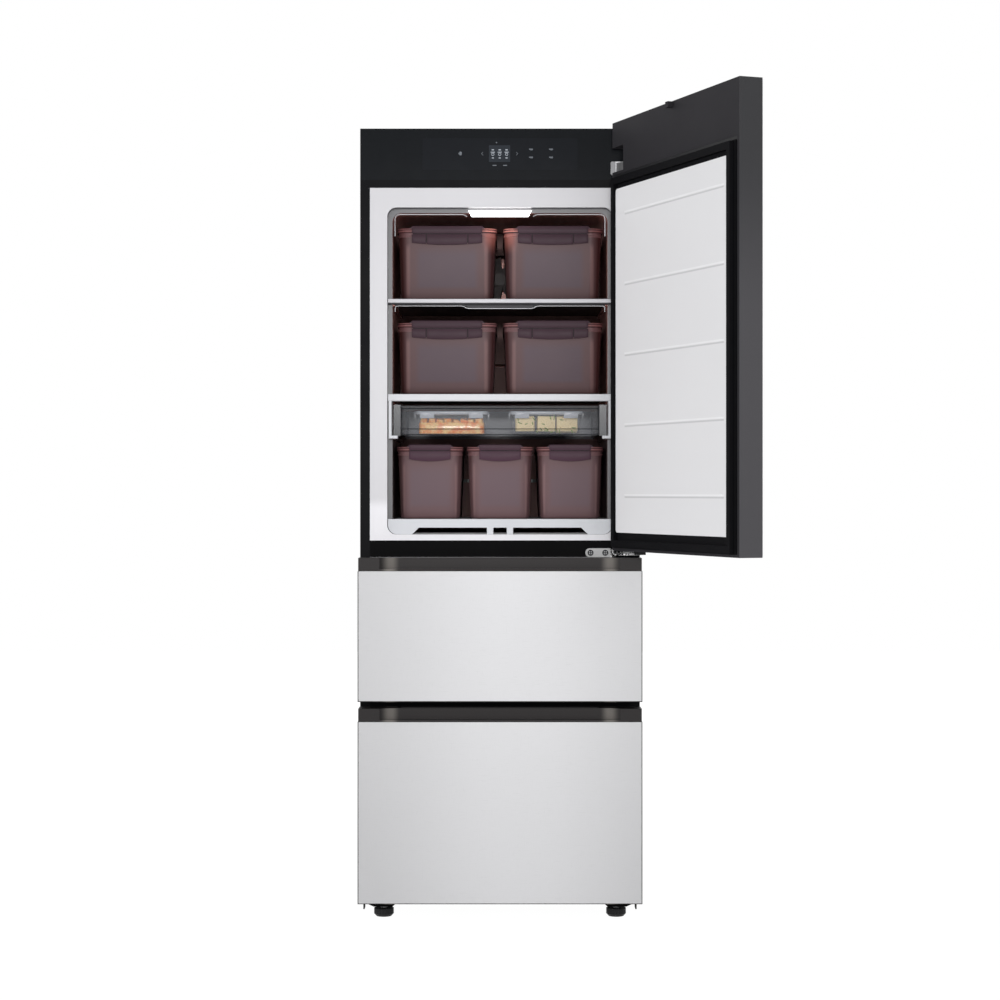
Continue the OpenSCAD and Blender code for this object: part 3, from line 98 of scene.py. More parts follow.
def shade_of(colour, share):
    """A colour made lighter or darker by a share."""
    return (*[min(1.0, c * share) for c in colour[:3]], 1.0)


# ---------------------------------------------------------------- shader trees

class Wire:
    """One output in a shader tree. A sum written on it adds its Math nodes."""

    def __init__(self, finish, socket):
        self.finish = finish
        self.socket = socket

    def maths(self, operation, *values):
        """A Math node on these values."""
        return self.finish.node("ShaderNodeMath", {"operation": operation}, dict(enumerate(values)))

    def __add__(self, other):
        return self.maths("ADD", self, other)

    def __sub__(self, other):
        return self.maths("SUBTRACT", self, other)

    def __rsub__(self, other):
        return self.maths("SUBTRACT", other, self)

    def __mul__(self, other):
        return self.maths("MULTIPLY", self, other)

    def __gt__(self, other):
        return self.maths("GREATER_THAN", self, other)

    def __lt__(self, other):
        return self.maths("LESS_THAN", self, other)

    def __abs__(self):
        return self.maths("ABSOLUTE", self)

    __radd__ = __add__
    __rmul__ = __mul__

    def most(self, other):
        """The larger of two values."""
        return self.maths("MAXIMUM", self, other)

    def least(self, other):
        """The smaller of two values."""
        return self.maths("MINIMUM", self, other)

    def wave(self, pitch):
        """A ripple from 0 to 1 with this pitch in metres."""
        return self.maths("SINE", self * (2 * math.pi / pitch)) * 0.5 + 0.5

    def step(self, low, high):
        """A smooth step from 0 at low to 1 at high."""
        settings = {"interpolation_type": "SMOOTHSTEP"}
        sockets = {"Value": self, "From Min": low, "From Max": high}
        return self.finish.node("ShaderNodeMapRange", settings, sockets)

    def fall(self, low, high):
        """A smooth fall from 1 at low to 0 at high."""
        return 1 - self.step(low, high)

    def near(self, middle, reach, soft):
        """1 within reach of the middle, falling to 0 over a soft edge."""
        return abs(self - middle).fall(reach, reach + soft)


class Finish:
    """The shader tree of one procedural material, or of the world."""

    def __init__(self, name, stock="materials"):
        self.owner = getattr(bpy.data, stock).new(name)
        self.owner.use_nodes = True
        self.tree = self.owner.node_tree
        self.tree.nodes.clear()
        self.coordinates = None

    def node(self, kind, settings=None, sockets=None, output=0):
        """Adds a node: first its settings, then the values or wires of its sockets."""
        made = self.tree.nodes.new(kind)
        for key, value in (settings or {}).items():
            setattr(made, key, value)
        for key, value in (sockets or {}).items():
            if isinstance(value, Wire):
                self.tree.links.new(value.socket, made.inputs[key])
            else:
                made.inputs[key].default_value = value
        return Wire(self, made.outputs[output]) if made.outputs else made

    def place(self, centre=(0, 0, 0), turn=(0, 0, 0), stretch=(1, 1, 1)):
        """Object coordinates, centred, turned and stretched."""
        if self.coordinates is None:
            self.coordinates = self.node("ShaderNodeTexCoord", output="Object")
        if (centre, turn, stretch) == ((0, 0, 0), (0, 0, 0), (1, 1, 1)):
            return self.coordinates
        moved = self.node("ShaderNodeVectorMath", {"operation": "SUBTRACT"},
                          {0: self.coordinates, 1: centre})
        return self.node("ShaderNodeMapping", None,
                         {"Vector": moved, "Rotation": turn, "Scale": stretch})

    def apart(self, vector):
        """The three numbers of a vector."""
        split = self.node("ShaderNodeSeparateXYZ", None, {0: vector})
        return [Wire(self, out) for out in split.socket.node.outputs]

    def axes(self):
        """Across, deep and up, in metres."""
        return self.apart(self.place())

    def door_axes(self):
        """Along the open door from its hinge, out of its inner side, and up."""
        return self.apart(self.place(HINGE_AXIS, DOOR_TURN))

    def face_map(self):
        """Across a side from -1 to 1, and up it from 0 to 1."""
        return self.apart(self.node("ShaderNodeUVMap", {"uv_map": "face"}))[:2]

    def noise(self, scale, detail=2.0, stretch=(1, 1, 1)):
        """Cloudy noise from 0 to 1, with this many patches to a metre."""
        return self.node("ShaderNodeTexNoise", None,
                         {"Vector": self.place(stretch=stretch), "Scale": scale, "Detail": detail})

    def cells(self, scale, output="Distance"):
        """Distance to the nearest of scattered cells, or another of their outputs."""
        return self.node("ShaderNodeTexVoronoi", None,
                         {"Vector": self.place(), "Scale": scale}, output)

    def mix(self, share, first, second):
        """Two colours mixed by a wire."""
        return self.node("ShaderNodeMix", {"data_type": "RGBA"},
                         {0: share, 6: first, 7: second}, 2)

    def mottle(self, colour, share, scale):
        """A colour that drifts a little darker and lighter in soft patches."""
        return self.streaks(colour, self.noise(scale, 3), share)

    def streaks(self, colour, marks, share):
        """A colour that is darker and lighter by a share along these marks."""
        return self.mix(marks, shade_of(colour, 1 - share), shade_of(colour, 1 + share))

    def surface(self, **sockets):
        """Closes the material on one Principled surface."""
        named = {key.replace("_", " "): value for key, value in sockets.items()}
        return self.close(self.node("ShaderNodeBsdfPrincipled", None, named))

    def skin(self, colour, rough, relief, depth, strength, **more):
        """Closes the material on a surface with a relief of this depth in millimetres."""
        bump = self.node("ShaderNodeBump", None, {"Height": relief, "Distance": depth * MM,
                                                  "Strength": strength})
        return self.surface(Base_Color=colour, Roughness=rough, Normal=bump, **more)

    def blend(self, share, first, second):
        """Two shaders mixed by a wire."""
        return self.node("ShaderNodeMixShader", None, {0: share, 1: first, 2: second})

    def close(self, shader, output="ShaderNodeOutputMaterial"):
        """Closes the tree on this shader."""
        self.node(output, None, {"Surface": shader})
        return self.owner


# ------------------------------------------------------------------- finishes

def painted_sheet(name, colour, rough=0.42, gloss=0.05):
    """Powder paint on folded sheet, with orange peel and a faint drift."""
    f = Finish(name)
    peel = f.noise(900) * 0.7 + f.noise(3, 3) * 0.3
    return f.skin(f.mottle(colour, 0.10, 5), f.noise(14, 4) * 0.16 + (rough - 0.08),
                  peel, 0.12, 0.35, Specular_IOR_Level=gloss)


def pressed_zinc(name, colour):
    """Zinc sheet with its spangle."""
    f = Finish(name)
    grain = f.apart(f.cells(70, "Color"))[0]
    spangle = f.mix(grain, shade_of(colour, 0.86), shade_of(colour, 1.1))
    return f.skin(spangle, grain * 0.16 + 0.30, f.noise(500), 0.06, 0.4, Metallic=0.9)


def brushed_metal(name, colour, stretch, rough=0.30, metal=1.0):
    """Metal with brush marks along the axis that is stretched least."""
    f = Finish(name)
    marks = f.noise(1, 3, stretch)
    return f.skin(f.streaks(colour, marks, 0.16), marks * 0.2 + (rough - 0.1),
                  marks, 0.08, 0.35, Metallic=metal)


def strip_finish(name, colour, glint):
    """Dark brushed strip of a drawer, with a highlight painted where its recess curves up."""
    f = Finish(name)
    marks = f.noise(1, 3, (6, 700, 700))
    # Painted highlight: the strip is lightened to the glint colour where the recess's ends curve.
    curve = abs(f.axes()[0]).near(STRIP_CURVE, 3 * MM, 20 * MM)
    return f.skin(f.mix(curve * 0.8, f.streaks(colour, marks, 0.1), glint), marks * 0.2 + 0.34,
                  marks, 0.08, 0.35, Metallic=0.5, Specular_IOR_Level=0.2)


def moulded(name, colour, rough=0.38, grain=700, gloss=0.4):
    """Moulded plastic with a fine texture and slight flow marks."""
    f = Finish(name)
    flow = f.noise(9, 3, (1, 1, 0.35))
    return f.skin(f.mottle(colour, 0.05, 7), flow * 0.14 + (rough - 0.07),
                  f.cells(grain), 0.05, 0.4, Specular_IOR_Level=gloss)


def linen_enamel(name, colour, strength):
    """White enamelled sheet with a linen weave of sparse flecks, brightest at its middle: painted
    light, darker towards its sides and foot.
    """
    f = Finish(name)
    warp = f.noise(1, 2, (40, 40, 700))
    weft = f.noise(1, 2, (700, 700, 40))
    flecks = warp.step(0.56, 0.72) + weft.step(0.56, 0.72)
    x, _, z = f.axes()
    # Painted light: the sheet is darkened away from its middle and towards its foot, where less
    # light falls.
    dim = abs(x - 0.05).step(0.02, 0.44) * 0.75 + z.fall(-0.25, 0.75) * 0.5
    sheet = f.mix(dim, colour, shade_of(colour, 0.74))
    return f.skin(f.mix(flecks * strength, sheet, (0.3, 0.3, 0.3, 1)), warp * 0.08 + 0.42,
                  warp + weft, 0.04, 0.2, Specular_IOR_Level=0.2)


def liner_finish(name, white, steel):
    """White front ring, painted lighter along its foot; a collar in it painted grey as shade; and
    dark cooling steel behind the collar, with the lamp's light painted on it near the lamp.
    """
    f = Finish(name)
    x, y, z = f.axes()
    inside = y.step(COLLAR_BACK, COLLAR_BACK + 0.5 * MM)
    # Painted shade: the collar inside the white ring is greyed, more deeply further in.
    collar = y.step(1 * MM, 10 * MM) * (1 - inside)
    brushed = f.noise(1, 3, (40, 40, 900))
    # Painted lamp light: the steel walls are tinted a light red near the room lamp.
    glow = z.step(1.42, 1.68) * x.near(0, 0.05, 0.16)
    wall = f.mix(brushed, shade_of(steel, 0.8), shade_of(steel, 1.25))
    wall = f.mix(glow * 0.35, wall, on_screen(150, 96, 90))
    wall = f.mix(z.step(1.12, 1.20), on_screen(112, 100, 99), wall)
    # Painted light: the white ring is lighter along its foot, which faces up into the light.
    ring = f.mix(z.fall(0.97, 1.0), f.mottle(white, 0.02, 4), shade_of(white, 1.32))
    ring = f.mix(collar, ring, on_screen(104, 103, 106))
    return f.skin(f.mix(inside, ring, wall), inside * (brushed * 0.12 - 0.10) + 0.36,
                  f.noise(800), 0.05, 0.35, Metallic=inside * 0.25)


def shelf_finish(name, trim, plate, guide_top, shine=0.0):
    """A shelf with a light front trim; its plate behind and its guide below are dark."""
    f = Finish(name)
    _, y, z = f.axes()
    dark = y.step(TRIM_BACK, TRIM_BACK + 0.6 * MM).most(z.fall(guide_top - 0.3 * MM, guide_top))
    return f.skin(f.mix(dark, f.mottle(trim, 0.03, 9), plate),
                  f.noise(40, 2, (0.05, 1, 1)) * 0.1 + 0.34, f.noise(700), 0.04, 0.3,
                  Metallic=(1 - dark) * shine, Specular_IOR_Level=0.08)


def glossy_panel(name, colour, speck=0.04):
    """Gloss panel with faint long waves."""
    f = Finish(name)
    return f.skin(f.mottle(colour, speck, 4), f.noise(20, 3) * 0.06 + 0.14,
                  f.noise(6), 0.2, 0.15, Specular_IOR_Level=0.04)


def door_liner_finish(name, white, dark):
    """White liner, lit and shaded at its embossed bars and dark where it lies flat."""
    f = Finish(name)
    along, out, up = f.door_axes()
    raised = out.step(LINER_RAISED, LINER_RAISED + 0.4 * MM)
    barred = along.near(-320 * MM, 252 * MM, 10 * MM)
    start = up - (EMBOSS_LOWEST - EMBOSS_PITCH / 2)
    beat = f.node("ShaderNodeMath", {"operation": "FLOORED_MODULO"},
                  {0: start, 1: EMBOSS_PITCH}) - EMBOSS_PITCH / 2
    shade = beat.near(-3.2 * MM, 1 * MM, 1.5 * MM) * barred * 0.4
    light = beat.near(1.8 * MM, 1 * MM, 1.5 * MM) * barred * 0.7
    lined = f.mix(shade, f.mottle(white, 0.012, 3), on_screen(150, 150, 153))
    lined = f.mix(light, lined, on_screen(250, 250, 252))
    return f.skin(f.mix(raised, dark, lined), f.noise(30) * 0.08 + 0.42,
                  f.cells(700), 0.04, 0.3, Specular_IOR_Level=0.2)


def door_frame_finish(name, colour, end, head):
    """Dark frame plastic, painted lighter on the free end as light falling on it, a painted light
    that fades towards its head.
    """
    f = Finish(name)
    along, _, up = f.door_axes()
    # Painted light: the free end, turned towards the lamps, is lighter, darkening towards the head.
    painted_end_light = f.mix(up.step(1.35, 1.75), end, head)
    return f.skin(f.mix(along < FREE_END_ALONG, f.mottle(colour, 0.05, 7), painted_end_light),
                  f.noise(9, 3) * 0.14 + 0.43, f.cells(700), 0.05, 0.4, Specular_IOR_Level=0.03)


def hinge_finish(name, colour, shaded):
    """Ribbed nickel strip, darker on its plate, which lies in the door's shade."""
    f = Finish(name)
    ribs = f.noise(1, 2, (700, 700, 25))
    tone = f.mix(f.axes()[0].step(UPPER_HINGE_WEB, UPPER_HINGE_WEB + 2 * MM), shaded, colour)
    return f.skin(f.mix(ribs.step(0.3, 0.7) * 0.5, tone, (0.08, 0.08, 0.08, 1)),
                  ribs * 0.1 + 0.3, ribs, 0.1, 0.4, Metallic=0.85)


def arm_finish(name, colour):
    """Nickel hinge plate whose arm under the door is blotched black and bright, with painted shade
    on its inner part, which lies in the door's shadow.
    """
    f = Finish(name)
    x = f.axes()[0]
    marks = f.noise(1, 3, (200, 200, 900))
    # Painted shade: inward of about 283 mm the arm has fewer bright blotches, as it lies in the
    # door's shadow.
    blotches_and_painted_shade = f.noise(230, 1) + x.step(0.283, 0.292) * 0.14
    arm = f.mix(blotches_and_painted_shade.step(0.53, 0.57), on_screen(16, 16, 17), on_screen(212, 212, 212))
    return f.skin(f.mix(x > LOWER_HINGE_ARM, f.streaks(colour, marks, 0.16), arm),
                  marks * 0.2 + 0.34, marks, 0.08, 0.35, Metallic=0.5, Specular_IOR_Level=0.2)


def screw_finish(name):
    """Dark screws; the two of the lower hinge have a lighter head with a crossed recess, painted
    dark as its shade.
    """
    f = Finish(name)
    x, _, z = f.axes()
    up = abs(z - LOWER_SCREW_HEIGHT)
    across = abs(x - LOWER_SCREWS[0]).least(abs(x - LOWER_SCREWS[1]))
    radius = f.node("ShaderNodeMath", {"operation": "SQRT"}, {0: across * across + up * up})
    # Painted shade: the crossed recess in each lighter head is dark.
    head = radius.fall(4.0 * MM, 4.8 * MM) * across.least(up).step(0.6 * MM, 1.2 * MM)
    return f.skin(f.mix(head, on_screen(26, 26, 28), on_screen(150, 150, 152)),
                  f.noise(500) * 0.1 + 0.4, f.noise(500), 0.05, 0.3,
                  Metallic=0.3, Specular_IOR_Level=0.1)


def lamp_finish(name, strength):
    """A lit lens, brighter over its row of diodes."""
    f = Finish(name)
    diodes = f.axes()[0].wave(22 * MM) * 0.12 + 0.88
    return f.surface(Base_Color=f.mottle((0.9, 0.9, 0.92, 1), 0.02, 30),
                     Roughness=f.noise(200) * 0.1 + 0.3,
                     Emission_Color=f.mix(diodes, (0.75, 0.8, 0.9, 1), (1, 0.99, 0.97, 1)),
                     Emission_Strength=strength)


def foam_finish(name):
    """Cut polyurethane foam."""
    f = Finish(name)
    bubbles = f.cells(420)
    return f.skin(f.mix(bubbles, (0.72, 0.60, 0.36, 1), (0.84, 0.76, 0.54, 1)),
                  f.noise(60) * 0.1 + 0.82, bubbles, 0.6, 0.6)


def rubber_finish(name, colour):
    """Soft sealing rubber with a powdery surface."""
    f = Finish(name)
    powder = f.noise(60, 4)
    return f.skin(f.mix(powder, shade_of(colour, 0.8), shade_of(colour, 1.3)),
                  powder * 0.15 + 0.55, f.noise(900), 0.06, 0.5, Specular_IOR_Level=0.03)


def see_through(name, colour, alpha, rough=0.12):
    """Clear or smoked plastic that shows what is behind it."""
    f = Finish(name)
    return f.skin(f.mottle(colour, 0.06, 10), f.noise(30, 3) * 0.08 + rough, f.noise(5), 0.3, 0.2,
                  Alpha=f.noise(12, 3) * 0.06 + (alpha - 0.03), Specular_IOR_Level=0.5)


def tray_finish(name, haze, ears):
    """Clear tray, hazier at its rear; its two side ears are nearly solid and ribbed."""
    f = Finish(name)
    x, y, z = f.axes()
    ear = abs(x).step(TRAY_EAR, TRAY_EAR + 1.2 * MM)
    rear = y.step(0.18, 0.24)
    ribbed = f.mix(z.wave(12 * MM) * 0.25 + 0.75, shade_of(ears, 0.6), ears)
    clear = f.noise(12, 3) * 0.04 + 0.08 + rear * 0.45
    return f.skin(f.mix(ear, f.mix(rear, shade_of(haze, 0.5), haze), ribbed),
                  f.noise(30, 3) * 0.08 + 0.16, f.noise(5), 0.3, 0.2,
                  Alpha=(ear * 0.9).most(clear), Specular_IOR_Level=0.3)


def lamp_glow(f, low, high):
    """1 close to the room lamp, over the inner corners of the upper row, where the lamp's light is
    painted on containers and lids.
    """
    x, _, z = f.axes()
    return x.near(0, 26 * MM, 22 * MM) * z.step(low, high)


def container_finish(name, colour):
    """Smoky red-brown container: paler flat faces; painted shade deepens its rounded corners and
    foot to deep red; painted highlights down its sides, painted lamp light near the lamp and
    painted light on the lower row.
    """
    f = Finish(name)
    across, up = f.face_map()
    side = abs(across)
    panel = side.fall(0.52, 0.68) * up.step(0.14, 0.22) * up.fall(0.62, 0.82)
    # Painted highlight: a soft light stripe down each rounded side.
    glint = side.near(0.79, 0.01, 0.05) * up.near(0.42, 0.30, 0.12)
    layers = (
        (panel * (f.noise(9) * 0.3 + 0.6), (94, 82, 90)),
        # Painted shade: the rounded foot and the upright corners are darkened, where they turn away
        # from the light.
        (up.fall(0.0, 0.14) * 0.6, (72, 46, 44)),
        (side.step(0.74, 0.97) * 0.95, (58, 28, 28)),
        (glint * 0.42, (150, 118, 116)),
        # Painted light: the lower row is lighter.
        (f.axes()[2].fall(*ROW_HEIGHTS) * 0.2, (164, 134, 138)),
        (up.step(0.895, 0.90) * 0.6, (132, 96, 98)),
        # Painted lamp light on the corners near the room lamp.
        (lamp_glow(f, 1.575, 1.635) * 0.45, (226, 140, 126)),
    )
    body = colour
    for share, tint in layers:
        body = f.mix(share, body, on_screen(*tint))
    return f.skin(body, f.noise(9) * 0.10 + 0.34, f.noise(900), 0.03, 0.2,
                  Specular_IOR_Level=0.15)


def lid_finish(name, rim, wing):
    """Lid plastic: redder lines round its rim with painted shade between and under them, plum
    wings, painted shade behind their slots and on the lid's ends, painted lamp light near the lamp
    and painted light on the lower row.
    """
    f = Finish(name)
    across, up = f.face_map()
    lines = up.near(0.37, 0.03, 0.03).most(up.near(0.17, 0.04, 0.03))
    # Painted lamp light on the rim near the room lamp.
    lit = f.mix(lamp_glow(f, 1.60, 1.61) * 0.7, f.mottle(rim, 0.08, 30), on_screen(240, 156, 142))
    # Painted shade: outside the two lines the rim and skirt take a dark red, the shade under the
    # plate's lip.
    edge = f.mix(lines, on_screen(76, 48, 50), lit)
    # Painted light: the lower row's wings are lighter.
    painted_low_row_light = f.axes()[2].fall(*ROW_HEIGHTS) * 0.2
    plum = f.mix(painted_low_row_light, f.mottle(wing, 0.05, 20), on_screen(136, 92, 118))
    colour = f.mix(up.step(0.55, 0.65), edge, plum)
    # Painted shade: the backing seen through the wing's slots is near black.
    colour = f.mix(up.step(-0.6, -0.4), on_screen(26, 15, 19), colour)
    # Painted shade: the lid's rounded ends are darkened.
    return f.skin(f.mix(abs(across).step(0.93, 1.0) * 0.4, colour, shade_of(wing, 0.6)),
                  f.noise(50, 3) * 0.12 + 0.34, f.noise(600), 0.04, 0.3, Specular_IOR_Level=0.12)


def kimchi_finish(name):
    """Diced radish in red pepper brine."""
    f = Finish(name)
    sauce = f.noise(70, 4)
    dice = f.mix(sauce.step(0.35, 0.65), on_screen(255, 208, 124), on_screen(246, 134, 24))
    return f.skin(f.mix(f.cells(500) < 0.22, dice, on_screen(176, 58, 20)), sauce * 0.2 + 0.2,
                  f.noise(300, 3), 0.4, 0.5, Coat_Weight=0.5, Coat_Roughness=0.1)


def tofu_finish(name):
    """Pale bean curd with seared flecks."""
    f = Finish(name)
    flecks = f.cells(160).fall(0.10, 0.22) * f.noise(60, 3).step(0.45, 0.6)
    curd = f.mottle(on_screen(255, 228, 174), 0.05, 40)
    return f.skin(f.mix(flecks, curd, on_screen(150, 92, 60)), f.noise(80, 3) * 0.2 + 0.4,
                  f.noise(260, 3), 0.3, 0.5)


def leaf_finish(name, colour):
    """Cut green herbs."""
    f = Finish(name)
    return f.skin(f.mottle(colour, 0.35, 160), f.noise(90) * 0.2 + 0.4, f.noise(400), 0.2, 0.5)


def mark_finish(name, colour, glow):
    """Lit marks on the touch glass."""
    f = Finish(name)
    return f.surface(Base_Color=f.mottle(colour, 0.04, 200), Roughness=f.noise(300) * 0.1 + 0.4,
                     Emission_Color=f.mottle(colour, 0.06, 300), Emission_Strength=glow)


def patterned_plate(name):
    """Pressed plate under the door: light metal with small raised diamonds, black at its end."""
    f = Finish(name)
    x, y, z = f.axes()
    diamonds = ((x + y).wave(6 * MM) * (x - y).wave(6 * MM) * z.wave(4 * MM)).step(0.12, 0.30)
    metal = f.mix(diamonds, on_screen(84, 84, 86), on_screen(196, 196, 198))
    return f.skin(f.mix(f.door_axes()[0] < PLATE_END_ALONG, metal, on_screen(14, 14, 15)),
                  f.noise(90) * 0.1 + 0.32, diamonds, 0.4, 0.6,
                  Metallic=diamonds * 0.3, Specular_IOR_Level=0.2)


# ------------------------------------------------------------------ mesh tools

def added(bm, before):
    """The vertices made since this set was taken."""
    return [v for v in bm.verts if v not in before]


def box_of_edges(bm, low, high):
    """A box between two corners; gives its vertices."""
    low, high = Vector(low), Vector(high)
    place = Matrix.Translation((low + high) / 2) @ Matrix.Diagonal((*(high - low), 1))
    return bmesh.ops.create_cube(bm, size=1, matrix=place)["verts"]


def edges_of(verts):
    """Every edge between these vertices."""
    inside = set(verts)
    return [e for e in {e for v in verts for e in v.link_edges} if set(e.verts) <= inside]


def along(edges, axis):
    """The edges that run along one axis."""
    return [e for e in edges
            if abs((e.verts[1].co - e.verts[0].co).normalized()[axis]) > 0.9]


def lie_at(verts, axis, place):
    """Whether all of these vertices have this place along an axis."""
    return all(abs(v.co[axis] - place) < SAME_PLACE for v in verts)


def soften(bm, edges, width, segments):
    """Rounds these edges."""
    bmesh.ops.bevel(bm, geom=edges, offset=width, offset_type="OFFSET", segments=segments,
                    profile=0.5, affect="EDGES", material=-1, clamp_overlap=True)


def tapered_tub(bm, low, high, taper, corner, segments, foot, foot_segments, wall):
    """An open tub, narrower at its base, with rounded corners and foot."""
    low, high = Vector(low), Vector(high)
    centre = (low + high) / 2
    verts = box_of_edges(bm, low, high)
    for v in verts:
        if v.co.z < centre.z:
            v.co.x -= math.copysign(taper, v.co.x - centre.x)
            v.co.y -= math.copysign(taper, v.co.y - centre.y)
    soften(bm, along(edges_of(verts), 2), corner, segments)
    base = [e for e in bm.edges if lie_at(e.verts, 2, low.z)]
    soften(bm, base, foot, foot_segments)
    top = [f for f in bm.faces if f.normal.z > 0.9]
    bmesh.ops.delete(bm, geom=top, context="FACES_ONLY")
    bmesh.ops.recalc_face_normals(bm, faces=bm.faces[:])
    bmesh.ops.solidify(bm, geom=bm.faces[:], thickness=wall)


def rounded_block(bm, low, high, radius, segments, rim=0.0, rim_segments=2, axis=2):
    """A block whose edges along one axis are rounded, and then the rims of its ends."""
    before = set(bm.verts)
    soften(bm, along(edges_of(box_of_edges(bm, low, high)), axis), radius, segments)
    for end in (low[axis], high[axis]) if rim > 0 else ():
        loop = [e for e in edges_of(added(bm, before))
                if lie_at(e.verts, axis, end) and len(e.link_faces) == 2
                and sum(lie_at(f.verts, axis, end) for f in e.link_faces) == 1]
        soften(bm, loop, rim, rim_segments)


def rounded_band(bm, low, high, radius, wall, rim):
    """An upright band of even wall round a rounded rectangle, its rims eased."""
    before = set(bm.verts)
    soften(bm, along(edges_of(box_of_edges(bm, low, high)), 2), radius, 10)
    made = added(bm, before)
    caps = [f for f in {f for v in made for f in v.link_faces} if abs(f.normal.z) > 0.9]
    bmesh.ops.delete(bm, geom=caps, context="FACES_ONLY")
    sides = list({f for v in made if v.is_valid for f in v.link_faces})
    bmesh.ops.solidify(bm, geom=sides, thickness=wall)
    rims = [e for e in edges_of(added(bm, before)) if len(e.link_faces) == 2
            and abs(e.link_faces[0].normal.z) + abs(e.link_faces[1].normal.z) > 0.9
            and abs(e.link_faces[0].normal.dot(e.link_faces[1].normal)) < 0.3]
    soften(bm, rims, rim, 2)


def map_faces(bm, low, high):
    """Writes the face map: -1 to 1 across each side and 0 to 1 from the base up."""
    centre, half = (low + high) / 2, (high - low) / 2
    layer = bm.loops.layers.uv.new("face")
    for face in bm.faces:
        axis = 1 if abs(face.normal.x) > abs(face.normal.y) else 0
        for loop in face.loops:
            at = loop.vert.co
            loop[layer].uv = ((at[axis] - centre[axis]) / half[axis],
                              (at.z - low.z) / (high.z - low.z))


def in_scene(name, data):
    """A new object in the scene that holds this data."""
    made = bpy.data.objects.new(name, data)
    bpy.context.scene.collection.objects.link(made)
    return made


def piece(name, bm, material, body, replaces=(), recalc=True):
    """Makes a finished object from a bmesh, riding on its body."""
    if recalc:
        bmesh.ops.recalc_face_normals(bm, faces=bm.faces[:])
    mesh = bpy.data.meshes.new(name)
    bm.to_mesh(mesh)
    bm.free()
    mesh.materials.append(material)
    mesh.shade_smooth()
    mesh.set_sharp_from_angle(angle=math.radians(35))
    made = in_scene(name, mesh)
    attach(made, body)
    if replaces:
        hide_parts(*replaces)


def wire_piece(name, runs, radius, material, body):
    """Round wire along open runs of points."""
    curve = bpy.data.curves.new(name, "CURVE")
    curve.dimensions = "3D"
    curve.bevel_depth = radius
    curve.bevel_resolution = 3
    curve.use_fill_caps = True
    for points in runs:
        spline = curve.splines.new("POLY")
        spline.points.add(len(points) - 1)
        for target, at in zip(spline.points, points):
            target.co = (*at, 1)
    shell = in_scene(name, curve)
    bpy.context.view_layer.update()
    mesh = bpy.data.meshes.new_from_object(shell)
    bpy.data.objects.remove(shell)
    bpy.data.curves.remove(curve)
    bm = bmesh.new()
    bm.from_mesh(mesh)
    bpy.data.meshes.remove(mesh)
    piece(name, bm, material, body)


def eased(points, radius):
    """A run of points with its corners cut to arcs."""
    points = [Vector(p) for p in points]
    run = [points[0]]
    steps = 5
    for before, corner, after in zip(points, points[1:], points[2:]):
        back, on = before - corner, after - corner
        reach = min(radius, back.length * 0.45, on.length * 0.45)
        start, end = corner + back.normalized() * reach, corner + on.normalized() * reach
        for i in range(steps + 1):
            t = i / steps
            run.append(start * (1 - t) ** 2 + corner * 2 * t * (1 - t) + end * t ** 2)
    return run + [points[-1]]


# ------------------------------------------------------------------ properties

def colour_choice(name, description, *level):
    """A colour setting and its usual level on a screen."""
    return FloatVectorProperty(name=name, description=description, subtype="COLOR", size=4,
                               default=on_screen(*level))


def length_choice(name, description, metres):
    """A length setting and its usual value."""
    return FloatProperty(name=name, description=description, default=metres, unit="LENGTH")


class FridgeFinishes(bpy.types.PropertyGroup):
    """Colours that an owner would choose."""

    panel: colour_choice("Panel", "Enamel of the drawer and door panels", 232, 232, 234)
    weave: FloatProperty(name="Weave", description="How strongly the linen weave shows",
                         default=0.05, min=0, max=0.2, subtype="FACTOR")
    body: colour_choice("Cabinet", "Paint of the cabinet's sides and top", 14, 14, 16)
    container: colour_choice("Container", "Smoky plastic of the containers", 100, 78, 80)
    lid: colour_choice("Lid", "Plum plastic of the lid wings", 64, 45, 54)
    liner: colour_choice("Liner", "White of the liners", 208, 207, 211)


class FridgeContents(bpy.types.PropertyGroup):
    """What stands in the fridge."""

    lamp: FloatProperty(name="Lamp", description="Strength of the room lamp", default=4.5, min=0)
    diced: IntProperty(name="Dice", description="Radish dice in the first food box",
                       default=60, min=1)
    seed: IntProperty(name="Seed", description="Order of the food pieces", default=7)


class FridgeStudio(bpy.types.PropertyGroup):
    """Camera and lights."""

    lens: FloatProperty(name="Lens", description="Focal length on a 36 mm sensor",
                        default=82.14, min=10, subtype="DISTANCE_CAMERA")
    distance: length_choice("Distance", "Camera in front of the cabinet", 5.402)
    height: length_choice("Height", "Camera over the floor", 1.013)
    key: FloatProperty(name="Key", description="Power of the front softbox", default=99, min=0)
    fill: FloatProperty(name="Fill", description="Even light from all round", default=0.30, min=0)


# ------------------------------------------------------------------- operators

